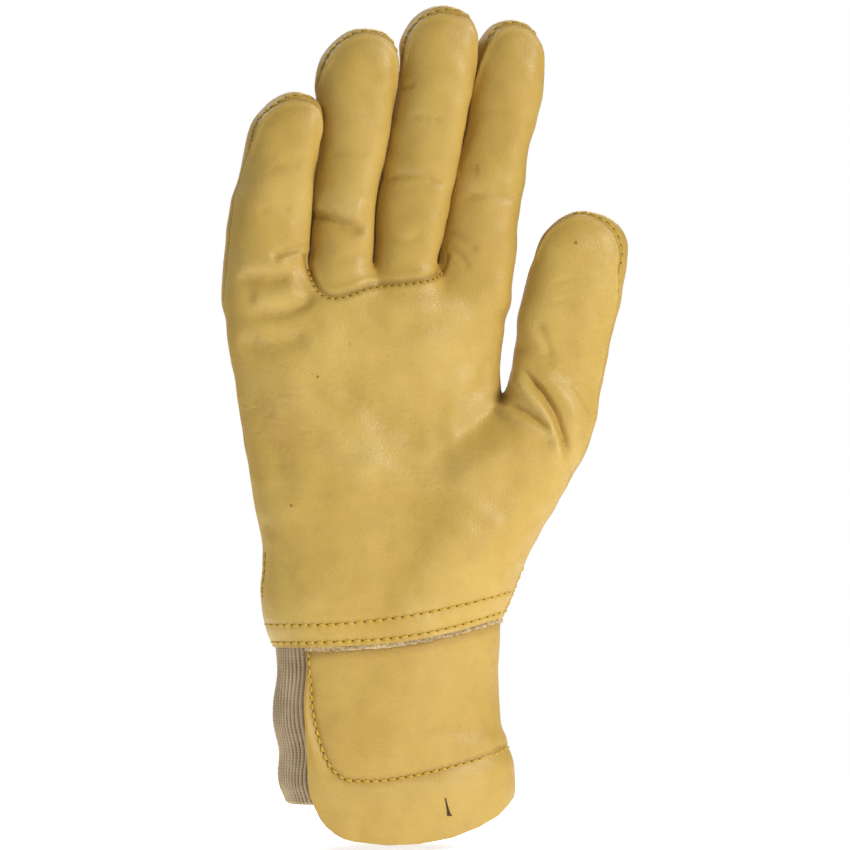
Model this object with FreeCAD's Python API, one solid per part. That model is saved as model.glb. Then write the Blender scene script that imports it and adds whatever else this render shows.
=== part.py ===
"""Leather work glove, right hand, worn over insulating gloves: a gunn-cut hand of sewn
leather panels, a knitted wrist, and a short leather cuff that leaves the little-finger side open.

Millimetres. The glove stands as on a raised hand: +Z towards the fingertips, palm facing -Y,
thumb at +X. The origin is the middle of the cuff's mouth, at its lowest level.

Every finger is cut across at its creases, where the leather bends, so that the stretches
between the creases are rigid solids. Each bend turns about the palm-side leather.
"""

import FreeCAD
import Part

import math
import os

from FreeCAD import Placement, Rotation, Vector

os.makedirs("parts", exist_ok=True)

# ---------------------------------------------------------------- driving sizes
LEATHER = 1.3  # grain leather of the hand and cuff
FACING = 0.8  # cotton facing sewn inside the cuff
LINING_EDGE = 0.7  # brushed edge of the lining, caught in the hem
KNIT = 2.2  # folded rib knit
THREAD_RADIUS = 0.35
STITCH_PITCH = 3.4
STITCH_SHARE = 0.62  # of the pitch that shows between two needle holes
CREASE_GAP = 0.5  # between the two sides of a crease
SEWN_CLEARANCE = 0.3  # between layers that lie on each other
THREAD_LIFT = THREAD_RADIUS + 0.1  # of a thread's middle above the leather

# Fingers: all lean the same way, so that each flexes beside its neighbours.
FINGER_LEAN = 8.5  # degrees from +Z towards the thumb
FINGER_DATUM = 211.0  # height at which a finger's middle line is placed
FINGER_GAP = 0.3  # between two neighbours
FOURCHETTE = 9.0  # width of the side strip between two fingers
LITTLE_FINGER_X = -45.8  # its middle line at the datum; the others stand beside it

# name: half width, half depth, and the heights along the finger, from the datum, of its
# knuckle crease, its middle crease and its tip. Listed from the little finger outwards.
FINGERS = {
    "little": dict(half_width=12.1, half_depth=10.6, knuckle=1.0, middle=22.0, tip=54.0),
    "ring": dict(half_width=11.9, half_depth=11.5, knuckle=1.0, middle=26.0, tip=75.8),
    "middle": dict(half_width=12.1, half_depth=11.8, knuckle=4.0, middle=29.0, tip=84.2),
    "index": dict(half_width=12.0, half_depth=11.5, knuckle=4.0, middle=28.0, tip=79.4),
}
# Which sides carry a fourchette: -1 towards the little finger, +1 towards the thumb.
FOURCHETTE_SIDES = {"little": (1,), "ring": (-1, 1), "middle": (-1, 1), "index": (-1,)}
FINGER_ROOT = 20.0  # how far a finger reaches down into the hand, from the datum
TIP_SEAM_ARC = 110.0  # degrees of a tip's outline that carry stitches

THUMB_LEAN = 11.0
THUMB_ROOT = Vector(54.1, 0.0, 155.0)
THUMB_ROOT_DEPTH = 6.0
THUMB = dict(half_width=16.0, half_depth=13.0, knuckle=4.0, middle=27.0, tip=68.9)

# Wrist: the hem is cut on a slant that rises towards the thumb.
HEM_SLANT = 7.5  # degrees
HEM_HEIGHT = 72.0  # of the hem's edge at the wrist's middle
HEM_ROWS = (1.9, 8.3)  # heights of the two rows of stitches above the hem's edge
LINING_SHOWS = 2.4  # of the lining's edge, below the hem
WRIST_X = -4.6  # middle of the wrist
WRIST_TOP_RISE = 5.0  # of the sewn-in ends of cuff, knit and lining above the hem's edge

CUFF_HALF_WIDTH = 40.4
CUFF_HALF_DEPTH = 23.0
CUFF_EDGE_X = -32.4  # the cuff's free edge, on the little-finger side
CUFF_CORNER = 18.0  # radius of its bottom corner
CUFF_RIM = ((8.0, 0.0), (19.0, 2.5), (30.0, 6.5), (38.0, 12.0))  # x, height: it rises at the thumb
CUFF_FLARE = 5.0  # the cuff's widening at its mouth
# Height over the rim, and the share of the flare reached there.
CUFF_FLARE_STEPS = ((47.0, 0.0), (36.0, 0.3), (27.0, 0.8), (17.0, 1.0))
CUFF_SEAM_INSET = 3.5  # stitch row from the free edge
CUFF_SEAM_HEIGHT = 23.0  # stitch row from the rim, at its lowest
CUFF_SEAM_SLANT = 12.0  # degrees, rising towards the thumb
KNIT_BOTTOM = 16.0

# Hand: height, left edge, right edge, half depth of each level section. Its hem goes round
# the cuff with the lining's edge between them.
HEM_HALF_DEPTH = CUFF_HALF_DEPTH + LINING_EDGE + 2 * SEWN_CLEARANCE + LEATHER + 0.4
HEM_LEFT = WRIST_X - CUFF_HALF_WIDTH - 0.2
HEM_RIGHT = WRIST_X + CUFF_HALF_WIDTH + 2.4
HAND_SECTIONS = [
    (HEM_HEIGHT - 12, HEM_LEFT, HEM_RIGHT, HEM_HALF_DEPTH),
    (HEM_HEIGHT + 12, HEM_LEFT - 1.9, HEM_RIGHT + 0.8, HEM_HALF_DEPTH),
    (HEM_HEIGHT + 21, -47.9, 40.0, 24.0),
    (115.0, -49.6, 42.0, 21.0),
    (143.0, -53.8, 42.0, 18.5),
    (168.0, -58.1, 36.6, 17.5),
    (193.0, -60.6, 38.8, 16.5),
    (206.0, -60.8, 40.2, 14.5),
]
# Ball of the thumb: height, middle, half width, half depth.
THUMB_BALL_SECTIONS = [
    (87.0, 20.6, 18.5, 20.0),
    (107.0, 31.1, 18.5, 20.0),
    (125.0, 39.6, 19.4, 18.0),
    (143.0, 49.0, 17.8, 15.0),
    (153.0, 53.7, 16.1, 13.0),
]
GUNN_DROP = 16.0  # of the seam under the ring and middle fingers, below the finger datum
SIDE_SEAM = (90.0, 118.0)  # heights between which the side seams' stitches show

REACH = 400.0  # half size of the cutting blocks, larger than the glove


# ---------------------------------------------------------------- small tools
def save(name, shape):
    """Writes one named sub-part."""
    for solid in shape.Solids:
        if not solid.isValid() or solid.Volume <= 0:
            raise ValueError(f"{name} holds a solid that isn't valid")
    shape.exportStep(f"parts/{name}.step")


def frame_at(origin, lean):
    """Placement whose own Z leans from +Z towards +X."""
    return Placement(origin, Rotation(Vector(0, 1, 0), lean))


def block(x0, x1, y0, y1, z0, z1):
    return Part.makeBox(x1 - x0, y1 - y0, z1 - z0, Vector(x0, y0, z0))


def above(point, slant):
    """Everything above a plane through point that rises towards +X by slant degrees."""
    half_space = block(-REACH, REACH, -REACH, REACH, 0, REACH)
    half_space.Placement = Placement(point, Rotation(Vector(0, 1, 0), -slant))
    return half_space


def ellipse(x, z, half_width, half_depth):
    """Level ellipse round the point x, z, always starting from the same side."""
    curve = Part.Ellipse(Vector(0, 0, 0), max(half_width, half_depth), min(half_width, half_depth))
    edge = curve.toShape()
    if half_depth > half_width:
        edge.rotate(Vector(0, 0, 0), Vector(0, 0, 1), 90)
    edge.translate(Vector(x, 0, z))
    return Part.Wire([edge])


def stadium(left, right, half_depth, z):
    """Level outline with flat front and back and round sides."""
    a = left + half_depth
    b = right - half_depth
    d = half_depth
    edges = [
        Part.LineSegment(Vector(a, -d, z), Vector(b, -d, z)).toShape(),
        Part.Arc(Vector(b, -d, z), Vector(right, 0, z), Vector(b, d, z)).toShape(),
        Part.LineSegment(Vector(b, d, z), Vector(a, d, z)).toShape(),
        Part.Arc(Vector(a, d, z), Vector(left, 0, z), Vector(a, -d, z)).toShape(),
    ]
    return Part.Wire(edges)


def loft(wires):
    return Part.makeLoft(wires, True, True)


def fuse(shapes):
    whole = shapes[0]
    for shape in shapes[1:]:
        whole = whole.fuse(shape)
    return whole


def stitches(points, pitch=STITCH_PITCH):
    """Short bars of thread along the points, which are one pitch apart."""
    bars = []
    for start, end in zip(points, points[1:]):
        run = end - start
        bars.append(Part.makeCylinder(THREAD_RADIUS, STITCH_SHARE * pitch, start, run))
    return Part.makeCompound(bars)


def row_on(shape, normal, distance, keep):
    """Points one pitch apart where a plane crosses shape's outer skin, where keep(point) holds."""
    wires = shape.slice(normal, distance)
    outer = max(wires, key=lambda wire: wire.Length)
    count = max(3, round(outer.Length / STITCH_PITCH))
    points = outer.discretize(Number=count)
    runs = []
    run = []
    for point in points:
        if keep(point):
            run.append(point)
        elif run:
            runs.append(run)
            run = []
    runs.append(run)
    return [run for run in runs if len(run) > 1]


# ---------------------------------------------------------------- fingers and thumb
def round_topped(half, start, end):
    """Upright face in the XZ plane, as wide as twice half, with a semicircle for its top."""
    shoulder = end - half
    edges = [
        Part.LineSegment(Vector(-half, 0, start), Vector(-half, 0, shoulder)).toShape(),
        Part.Arc(Vector(-half, 0, shoulder), Vector(0, 0, end), Vector(half, 0, shoulder)).toShape(),
        Part.LineSegment(Vector(half, 0, shoulder), Vector(half, 0, start)).toShape(),
        Part.LineSegment(Vector(half, 0, start), Vector(-half, 0, start)).toShape(),
    ]
    return Part.Face(Part.Wire(edges))


def digit(half_width, half_depth, tip, start, wall):
    """Closed digit along its own Z, taken in by wall, from start to its rounded tip."""
    w = half_width - wall
    d = half_depth - wall
    end = tip - wall
    seen_from_palm = round_topped(w, start, end).extrude(Vector(0, 4 * d, 0))
    seen_from_palm.translate(Vector(0, -2 * d, 0))
    seen_from_side = round_topped(d, start, end).extrude(Vector(0, 4 * w, 0))
    seen_from_side.translate(Vector(0, -2 * w, 0))
    seen_from_side.rotate(Vector(0, 0, 0), Vector(0, 0, 1), 90)
    seen_from_tip = Part.Face(stadium(-w, w, d, start)).extrude(Vector(0, 0, end - start))
    return seen_from_tip.common(seen_from_palm).common(seen_from_side)


def digit_pieces(name, size, sides, place):
    """Leather pieces of one digit between its creases and beyond, written in place.

    The front and back panels meet halfway down the outer sides. Where a side has a
    fourchette, that strip lies between them.
    """
    w = size["half_width"]
    d = size["half_depth"]
    tube = digit(w, d, size["tip"], 0.0, 0.0).cut(digit(w, d, size["tip"], -1.0, LEATHER))
    stretches = {
        "base": (size["knuckle"] + CREASE_GAP / 2, size["middle"] - CREASE_GAP / 2),
        "tip": (size["middle"] + CREASE_GAP / 2, size["tip"] + 1.0),
    }
    strip_end = size["tip"] - w  # the strips stop where the tip begins to round
    strips = [
        block(min(0, side * 2 * w), max(0, side * 2 * w), -FOURCHETTE / 2, FOURCHETTE / 2, 0, strip_end)
        for side in sides
    ]
    for stretch, (low, high) in stretches.items():
        piece = tube.common(block(-2 * w, 2 * w, -2 * d, 2 * d, low, high))
        panels = {
            "front": piece.common(block(-2 * w, 2 * w, -2 * d, 0, low, high)),
            "back": piece.common(block(-2 * w, 2 * w, 0, 2 * d, low, high)),
        }
        for panel, shape in panels.items():
            for strip in strips:
                shape = shape.cut(strip)
            shape.Placement = place
            save(f"{name}_{panel}_{stretch}", shape)
        if strips:
            walls = Part.makeCompound([piece.common(strip) for strip in strips])
            walls.Placement = place
            save(f"{name}_fourchette_{stretch}", walls)
    seam = tip_seam(w, size["tip"])
    seam.Placement = place
    save(f"{name}_tip_stitching", seam)


def tip_seam(w, tip):
    """Stitches over the rounded tip, where the front and back panels meet."""
    arc = math.radians(TIP_SEAM_ARC)
    radius = w + THREAD_LIFT
    count = max(4, round(arc * radius / STITCH_PITCH))
    points = []
    for i in range(count + 1):
        a = math.pi / 2 - arc / 2 + arc * i / count
        points.append(Vector(radius * math.cos(a), 0, tip - w + radius * math.sin(a)))
    return stitches(points)


def root_stub(size, place, reach, wall):
    """The digit's root, reaching down into the hand and up to its knuckle crease."""
    w = size["half_width"] - wall
    d = size["half_depth"] - wall
    top = size["knuckle"] - CREASE_GAP / 2
    stub = Part.Face(stadium(-w, w, d, -reach)).extrude(Vector(0, 0, reach + top))
    stub.Placement = place
    return stub


finger_places = {}
finger_x = LITTLE_FINGER_X
last_half_width = None
for name, size in FINGERS.items():
    if last_half_width is not None:
        spacing = last_half_width + FINGER_GAP + size["half_width"]
        finger_x += spacing / math.cos(math.radians(FINGER_LEAN))
    finger_places[name] = frame_at(Vector(finger_x, 0, FINGER_DATUM), FINGER_LEAN)
    last_half_width = size["half_width"]
thumb_place = frame_at(THUMB_ROOT, THUMB_LEAN)

for name, size in FINGERS.items():
    digit_pieces(name, size, FOURCHETTE_SIDES[name], finger_places[name])
digit_pieces("thumb", THUMB, (), thumb_place)


# ---------------------------------------------------------------- hand
def hand_solid(wall):
    """The hand's outside taken in by wall, open towards the wrist and into every digit."""
    level_walls = [
        stadium(left + wall, right - wall, depth - wall, z) for z, left, right, depth in HAND_SECTIONS[:-1]
    ]
    z, left, right, depth = HAND_SECTIONS[-1]
    level_walls.append(stadium(left + wall, right - wall, depth - wall, z - wall))
    ball = loft([ellipse(x, z, w - wall, d - wall) for z, x, w, d in THUMB_BALL_SECTIONS])
    parts = [loft(level_walls), ball, root_stub(THUMB, thumb_place, THUMB_ROOT_DEPTH, wall)]
    parts += [root_stub(FINGERS[name], finger_places[name], FINGER_ROOT, wall) for name in FINGERS]
    return fuse(parts)


hem_point = Vector(WRIST_X, 0, HEM_HEIGHT)
hand_outer = hand_solid(0.0)
hand_shell = hand_outer.cut(hand_solid(LEATHER)).common(above(hem_point, HEM_SLANT))

# The gunn cut: the fronts of the ring and middle fingers are a piece of their own, sewn to
# the palm below the fingers.
middle_right = FINGERS["middle"]["half_width"]
ring_left = -middle_right - FINGER_GAP - 2 * FINGERS["ring"]["half_width"]
gunn_region = block(ring_left, middle_right, -REACH, 0, -GUNN_DROP, REACH)
gunn_region.Placement = finger_places["middle"]

front_half = hand_shell.common(block(-REACH, REACH, -REACH, 0, 0, REACH))
save("palm_leather", front_half.cut(gunn_region))
save("ring_and_middle_front_root", front_half.common(gunn_region))
save("back_leather", hand_shell.common(block(-REACH, REACH, 0, REACH, 0, REACH)))

# Stitches lie on the leather, so their rows are found on a hand that is a little larger.
hand_threads = hand_solid(-THREAD_LIFT)

# Two rows of stitches along the hem hold the knit and the cuff.
hem_normal = Rotation(Vector(0, 1, 0), -HEM_SLANT).multVec(Vector(0, 0, 1))
for label, rise in zip(("lower", "upper"), HEM_ROWS):
    rows = row_on(hand_threads, hem_normal, hem_normal.dot(hem_point) + rise, lambda point: True)
    save(f"hem_stitching_{label}", Part.makeCompound([stitches(run) for run in rows]))


# The seam below the ring and middle fingers.
def on_gunn_seam(point):
    local = finger_places["middle"].inverse().multVec(point)
    return point.y < 0 and ring_left < local.x < middle_right


finger_axis = finger_places["middle"].Rotation.multVec(Vector(0, 0, 1))
seam_level = finger_axis.dot(finger_places["middle"].Base) - GUNN_DROP
rows = row_on(hand_threads, finger_axis, seam_level, on_gunn_seam)
save("gunn_seam_stitching", Part.makeCompound([stitches(run) for run in rows]))

# The side seams, where palm and back meet: along the thumb's ball and above the wrist.
def on_side_seam(point):
    return SIDE_SEAM[0] < point.z < SIDE_SEAM[1]


rows = row_on(hand_threads, Vector(0, 1, 0), 0.0, on_side_seam)
save("side_seam_stitching", Part.makeCompound([stitches(run) for run in rows]))


# ---------------------------------------------------------------- wrist
def wrist_loft(grow, top, bottom, flare):
    """Oval sleeve, grown from the cuff's outside by grow, that widens by flare at its mouth."""
    steps = [(top, 0.0)]
    steps += [(z, share) for z, share in CUFF_FLARE_STEPS if z > bottom]
    steps.append((bottom, steps[-1][1]))
    wires = []
    for z, share in steps:
        # The mouth widens on the thumb side only, front and back.
        x = WRIST_X + flare / 2 * share
        half_width = CUFF_HALF_WIDTH + grow + flare / 2 * share
        wires.append(ellipse(x, z, half_width, CUFF_HALF_DEPTH + grow + flare / 2 * share))
    return loft(wires)


def cuff_outline(inset, rise, top):
    """Block that keeps the cuff's cut shape, seen from the palm: a free edge, a round
    bottom corner and a rim that rises towards the thumb."""
    left = CUFF_EDGE_X + inset
    corner = CUFF_CORNER
    diagonal = corner * (1 - math.sqrt(0.5))
    right = WRIST_X + CUFF_HALF_WIDTH + 3 * CUFF_FLARE
    arc = [
        Vector(left, -REACH, rise + corner),
        Vector(left + diagonal, -REACH, rise + diagonal),
        Vector(left + corner, -REACH, rise),
    ]
    rim = [Vector(x, -REACH, rise + z) for x, z in CUFF_RIM]
    rim += [Vector(right, -REACH, rim[-1].z), Vector(right, -REACH, top), Vector(left, -REACH, top)]
    edges = [Part.Arc(*arc).toShape()]
    corners = [arc[-1]] + rim + [arc[0]]
    edges += [Part.LineSegment(a, b).toShape() for a, b in zip(corners, corners[1:])]
    return Part.Face(Part.Wire(edges)).extrude(Vector(0, 2 * REACH, 0))


def under_hem(rise):
    """Everything under a plane along the hem, rise above its edge."""
    whole = block(-REACH, REACH, -REACH, REACH, -REACH, REACH)
    return whole.cut(above(hem_point + Vector(0, 0, rise), HEM_SLANT))


sewn_in = under_hem(WRIST_TOP_RISE)
sleeve_top = HEM_HEIGHT + 20

cuff_outer = wrist_loft(0.0, sleeve_top, -4.0, CUFF_FLARE)
cuff_inner = wrist_loft(-LEATHER, sleeve_top + 1, -5.0, CUFF_FLARE)
cuff = cuff_outer.cut(cuff_inner).common(sewn_in).common(cuff_outline(0, 0, sleeve_top + 2))
save("cuff_leather", cuff)

facing_outer = wrist_loft(-LEATHER - 0.02, sleeve_top, -4.0, CUFF_FLARE)
facing_inner = wrist_loft(-LEATHER - FACING, sleeve_top + 1, -5.0, CUFF_FLARE)
facing = facing_outer.cut(facing_inner).common(sewn_in)
facing_rise = CUFF_SEAM_HEIGHT - 2
save("cuff_facing", facing.common(cuff_outline(CUFF_SEAM_INSET - 1, facing_rise, sleeve_top + 2)))

knit_grow = -LEATHER - FACING - SEWN_CLEARANCE
knit_outer = wrist_loft(knit_grow, sleeve_top, KNIT_BOTTOM, 0.0)
knit_inner = wrist_loft(knit_grow - KNIT, sleeve_top + 1, KNIT_BOTTOM - 1, 0.0)
save("knit_wrist", knit_outer.cut(knit_inner).common(sewn_in))

lining_bottom = HEM_HEIGHT - 20
lining_outer = wrist_loft(SEWN_CLEARANCE + LINING_EDGE, sleeve_top, lining_bottom, 0.0)
lining_inner = wrist_loft(SEWN_CLEARANCE, sleeve_top + 1, lining_bottom - 1, 0.0)
lining = lining_outer.cut(lining_inner).common(sewn_in).cut(under_hem(-LINING_SHOWS))
lining = lining.common(cuff_outline(0, 0, sleeve_top + 2))
save("lining_edge", lining)

# Cuff stitching: down both free edges, and round along the rim.
cuff_threads = wrist_loft(THREAD_LIFT, sleeve_top, -4.0, CUFF_FLARE)
edge_low = CUFF_SEAM_HEIGHT + CUFF_CORNER / 2
edge_high = HEM_HEIGHT - 2 * LINING_SHOWS


def on_free_edge(point):
    return edge_low < point.z < edge_high


def off_free_edge(point):
    return point.x > CUFF_EDGE_X + CUFF_CORNER / 2


edge_rows = row_on(cuff_threads, Vector(1, 0, 0), CUFF_EDGE_X + CUFF_SEAM_INSET, on_free_edge)
rim_normal = Rotation(Vector(0, 1, 0), -CUFF_SEAM_SLANT).multVec(Vector(0, 0, 1))
rim_point = Vector(CUFF_EDGE_X + CUFF_CORNER, 0, CUFF_SEAM_HEIGHT)
rim_rows = row_on(cuff_threads, rim_normal, rim_normal.dot(rim_point), off_free_edge)
save("cuff_stitching", Part.makeCompound([stitches(run) for run in edge_rows + rim_rows]))
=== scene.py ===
"""Leather over-glove for the right hand, sewn from grain leather round a knitted wrist.

Metres, in the CAD frame: +Z towards the fingertips, the palm facing -Y, the thumb at +X.
Sizes are written in millimetres and turned to metres where a mesh is made.
"""

import math

import bpy
import numpy as np
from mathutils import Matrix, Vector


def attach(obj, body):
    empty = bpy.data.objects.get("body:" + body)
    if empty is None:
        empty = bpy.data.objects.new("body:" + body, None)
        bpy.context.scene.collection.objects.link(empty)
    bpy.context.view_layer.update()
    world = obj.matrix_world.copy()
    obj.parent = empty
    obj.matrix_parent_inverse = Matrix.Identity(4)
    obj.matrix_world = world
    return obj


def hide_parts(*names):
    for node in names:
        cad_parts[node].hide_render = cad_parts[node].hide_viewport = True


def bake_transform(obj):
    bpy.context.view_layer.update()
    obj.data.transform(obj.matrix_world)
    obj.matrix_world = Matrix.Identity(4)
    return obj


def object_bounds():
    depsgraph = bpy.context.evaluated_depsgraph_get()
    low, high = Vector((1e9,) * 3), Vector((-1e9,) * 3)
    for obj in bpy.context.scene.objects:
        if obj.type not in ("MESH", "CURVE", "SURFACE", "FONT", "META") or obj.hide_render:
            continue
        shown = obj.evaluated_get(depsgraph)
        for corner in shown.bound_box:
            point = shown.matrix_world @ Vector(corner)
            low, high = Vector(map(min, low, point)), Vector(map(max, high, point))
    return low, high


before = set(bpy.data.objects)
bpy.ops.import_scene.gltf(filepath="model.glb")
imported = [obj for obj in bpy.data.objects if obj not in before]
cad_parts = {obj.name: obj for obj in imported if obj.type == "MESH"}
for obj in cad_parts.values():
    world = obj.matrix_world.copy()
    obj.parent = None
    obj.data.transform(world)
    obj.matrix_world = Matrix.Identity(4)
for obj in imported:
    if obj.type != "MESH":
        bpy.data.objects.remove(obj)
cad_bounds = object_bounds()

import openvdb
from mathutils import Vector
from mathutils.bvhtree import BVHTree
from mathutils.kdtree import KDTree

MM = 0.001

# ---------------------------------------------------------------- studio
# A long lens looks level at the palm from 2.4 m away. The light is a bright, even studio
# with one softbox up to the right, as for a catalogue picture on white.
PICTURE_WIDTH = 297.5 * MM  # what the picture takes in at the glove
CAMERA_DISTANCE = 2400 * MM
PICTURE_MIDDLE = Vector((9.8 * MM, 0, 147.8 * MM))

camera = bpy.data.objects.new("camera", bpy.data.cameras.new("camera"))
camera.data.sensor_width = 36
camera.data.lens = camera.data.sensor_width * CAMERA_DISTANCE / PICTURE_WIDTH
camera.location = PICTURE_MIDDLE - Vector((0, CAMERA_DISTANCE, 0))
camera.rotation_euler = (math.radians(90), 0, 0)
bpy.context.scene.collection.objects.link(camera)
bpy.context.scene.camera = camera


def softbox(name, place, size, power):
    """Square area light that faces the glove."""
    light = bpy.data.lights.new(name, "AREA")
    light.size = size
    light.energy = power
    lamp = bpy.data.objects.new(name, light)
    lamp.location = place
    lamp.rotation_euler = (PICTURE_MIDDLE - Vector(place)).to_track_quat("-Z", "Y").to_euler()
    bpy.context.scene.collection.objects.link(lamp)


softbox("key_softbox", (0.84, -0.98, 0.76), 0.42, 15.8)
softbox("fill_softbox", (-0.9, -0.9, 0.3), 0.9, 0.3)
softbox("back_softbox", (0.2, 1.2, 0.9), 0.8, 9)
softbox("rim_softbox", (-0.65, 0.45, 0.85), 0.4, 4)

# A white backdrop is lit behind the glove; the room on the camera's side is dim.
ROOM_LIGHT = 0.18
bpy.context.scene.view_settings.view_transform = "Standard"
world = bpy.data.worlds.new("studio")
world.use_nodes = True
sky = world.node_tree
direction = sky.nodes.new("ShaderNodeTexCoord").outputs["Generated"]
apart = sky.nodes.new("ShaderNodeSeparateXYZ")
sky.links.new(direction, apart.inputs[0])
backdrop = sky.nodes.new("ShaderNodeMapRange")
backdrop.inputs["From Min"].default_value = 0.75
backdrop.inputs["From Max"].default_value = 0.95
backdrop.inputs["To Min"].default_value = ROOM_LIGHT
backdrop.inputs["To Max"].default_value = 1.0
sky.links.new(apart.outputs["Y"], backdrop.inputs["Value"])
sky.nodes["Background"].inputs["Color"].default_value = (1, 1, 1, 1)
sky.links.new(backdrop.outputs[0], sky.nodes["Background"].inputs["Strength"])
bpy.context.scene.world = world


# ---------------------------------------------------------------- material tools
def linear(hex_colour):
    """sRGB hex colour as the linear RGBA that a shader takes."""
    parts = [int(hex_colour[i : i + 2], 16) / 255 for i in (1, 3, 5)]
    return tuple(c / 12.92 if c <= 0.04045 else ((c + 0.055) / 1.055) ** 2.4 for c in parts) + (1.0,)


def add_node(material, kind, settings=None, **links):
    """Adds a node. settings are its own properties; links give its inputs, by name with _ for a
    space, as a value, another node's output, or a (node, output name) pair."""
    node = material.node_tree.nodes.new("ShaderNode" + kind)
    for key, value in (settings or {}).items():
        setattr(node, key, value)
    for key, value in links.items():
        target = node.inputs[int(key[1:])] if key[1:].isdigit() else node.inputs[key.replace("_", " ")]
        if isinstance(value, bpy.types.NodeSocket):
            material.node_tree.links.new(value, target)
        else:
            target.default_value = value
    return node


def layered(material, colour, layers):
    """Colours laid over a first colour. A layer is (pattern, low, high, most, its colour), and its
    share grows from 0 to most as the pattern goes from low to high."""
    mixed = linear(colour)
    for pattern, low, high, most, over in layers:
        share = add_node(material, "MapRange", Value=pattern, From_Min=low, From_Max=high, To_Max=most)
        mix = add_node(
            material, "Mix", {"data_type": "RGBA"}, _0=share.outputs[0], _6=mixed, _7=linear(over)
        )
        mixed = mix.outputs[2]
    return mixed


def new_material(name):
    material = bpy.data.materials.new(name)
    material.use_nodes = True
    return material, material.node_tree.nodes["Principled BSDF"]


def join_up(material, source, node, socket):
    material.node_tree.links.new(source, node.inputs[socket])


# Studio table: white acrylic, lit from below, so that it stays white round the glove.
bpy.ops.object.select_all(action="DESELECT")
floor_level = cad_bounds[0].z
bpy.ops.mesh.primitive_circle_add(vertices=96, radius=0.5, fill_type="NGON", location=(0, 0, floor_level))
floor = bpy.context.object
floor.name = "floor"
acrylic, acrylic_shader = new_material("matt white acrylic, lit from below")
acrylic_shader.inputs["Base Color"].default_value = linear("#f6f5f3")
acrylic_shader.inputs["Roughness"].default_value = 0.9
acrylic_shader.inputs["Emission Color"].default_value = (1, 1, 1, 1)
acrylic_shader.inputs["Emission Strength"].default_value = 0.75
floor.data.materials.append(acrylic)


# ---------------------------------------------------------------- hand leather
# The hand is one sewn skin of cowhide grain leather, about 1.3 mm thick, turned inside out after
# sewing so that its seams close to fine grooves. It is modelled as one surface, so that the
# leather runs on smoothly, and then cut into its panels along the seams.
LEATHER = 1.25
GRID = 0.70  # spacing of the samples that the surface is drawn through
LOW_CORNER = np.array([-68.0, -33.0, 60.0])
HIGH_CORNER = np.array([86.0, 33.0, 300.0])

axes_xyz = [np.arange(lo, hi, GRID, dtype=np.float32) for lo, hi in zip(LOW_CORNER, HIGH_CORNER)]
grid_x = axes_xyz[0][:, None, None]
grid_y = axes_xyz[1][None, :, None]
grid_z = axes_xyz[2][None, None, :]


def curve_through(points, t):
    """Smooth curve through (t, value) points, level beyond its ends."""
    at, value = np.array(points, float).T
    slope = np.gradient(value, at)
    slope[0] = slope[-1] = 0
    t = np.clip(t, at[0], at[-1])
    k = np.clip(np.searchsorted(at, t, side="right") - 1, 0, len(at) - 2)
    span = at[k + 1] - at[k]
    s = (t - at[k]) / span
    a = value[k] * (1 + 2 * s) * (1 - s) ** 2 + value[k + 1] * s * s * (3 - 2 * s)
    b = span * s * (1 - s) * (slope[k] * (1 - s) - slope[k + 1] * s)
    return a + b


def smooth_step(low, high, t):
    s = np.clip((t - low) / (high - low), 0, 1)
    return s * s * (3 - 2 * s)


def smooth_union(a, b, reach):
    """Two distance fields joined with a fillet."""
    h = np.clip(0.5 + 0.5 * (b - a) / reach, 0, 1)
    return b + (a - b) * h - reach * h * (1 - h)


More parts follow.
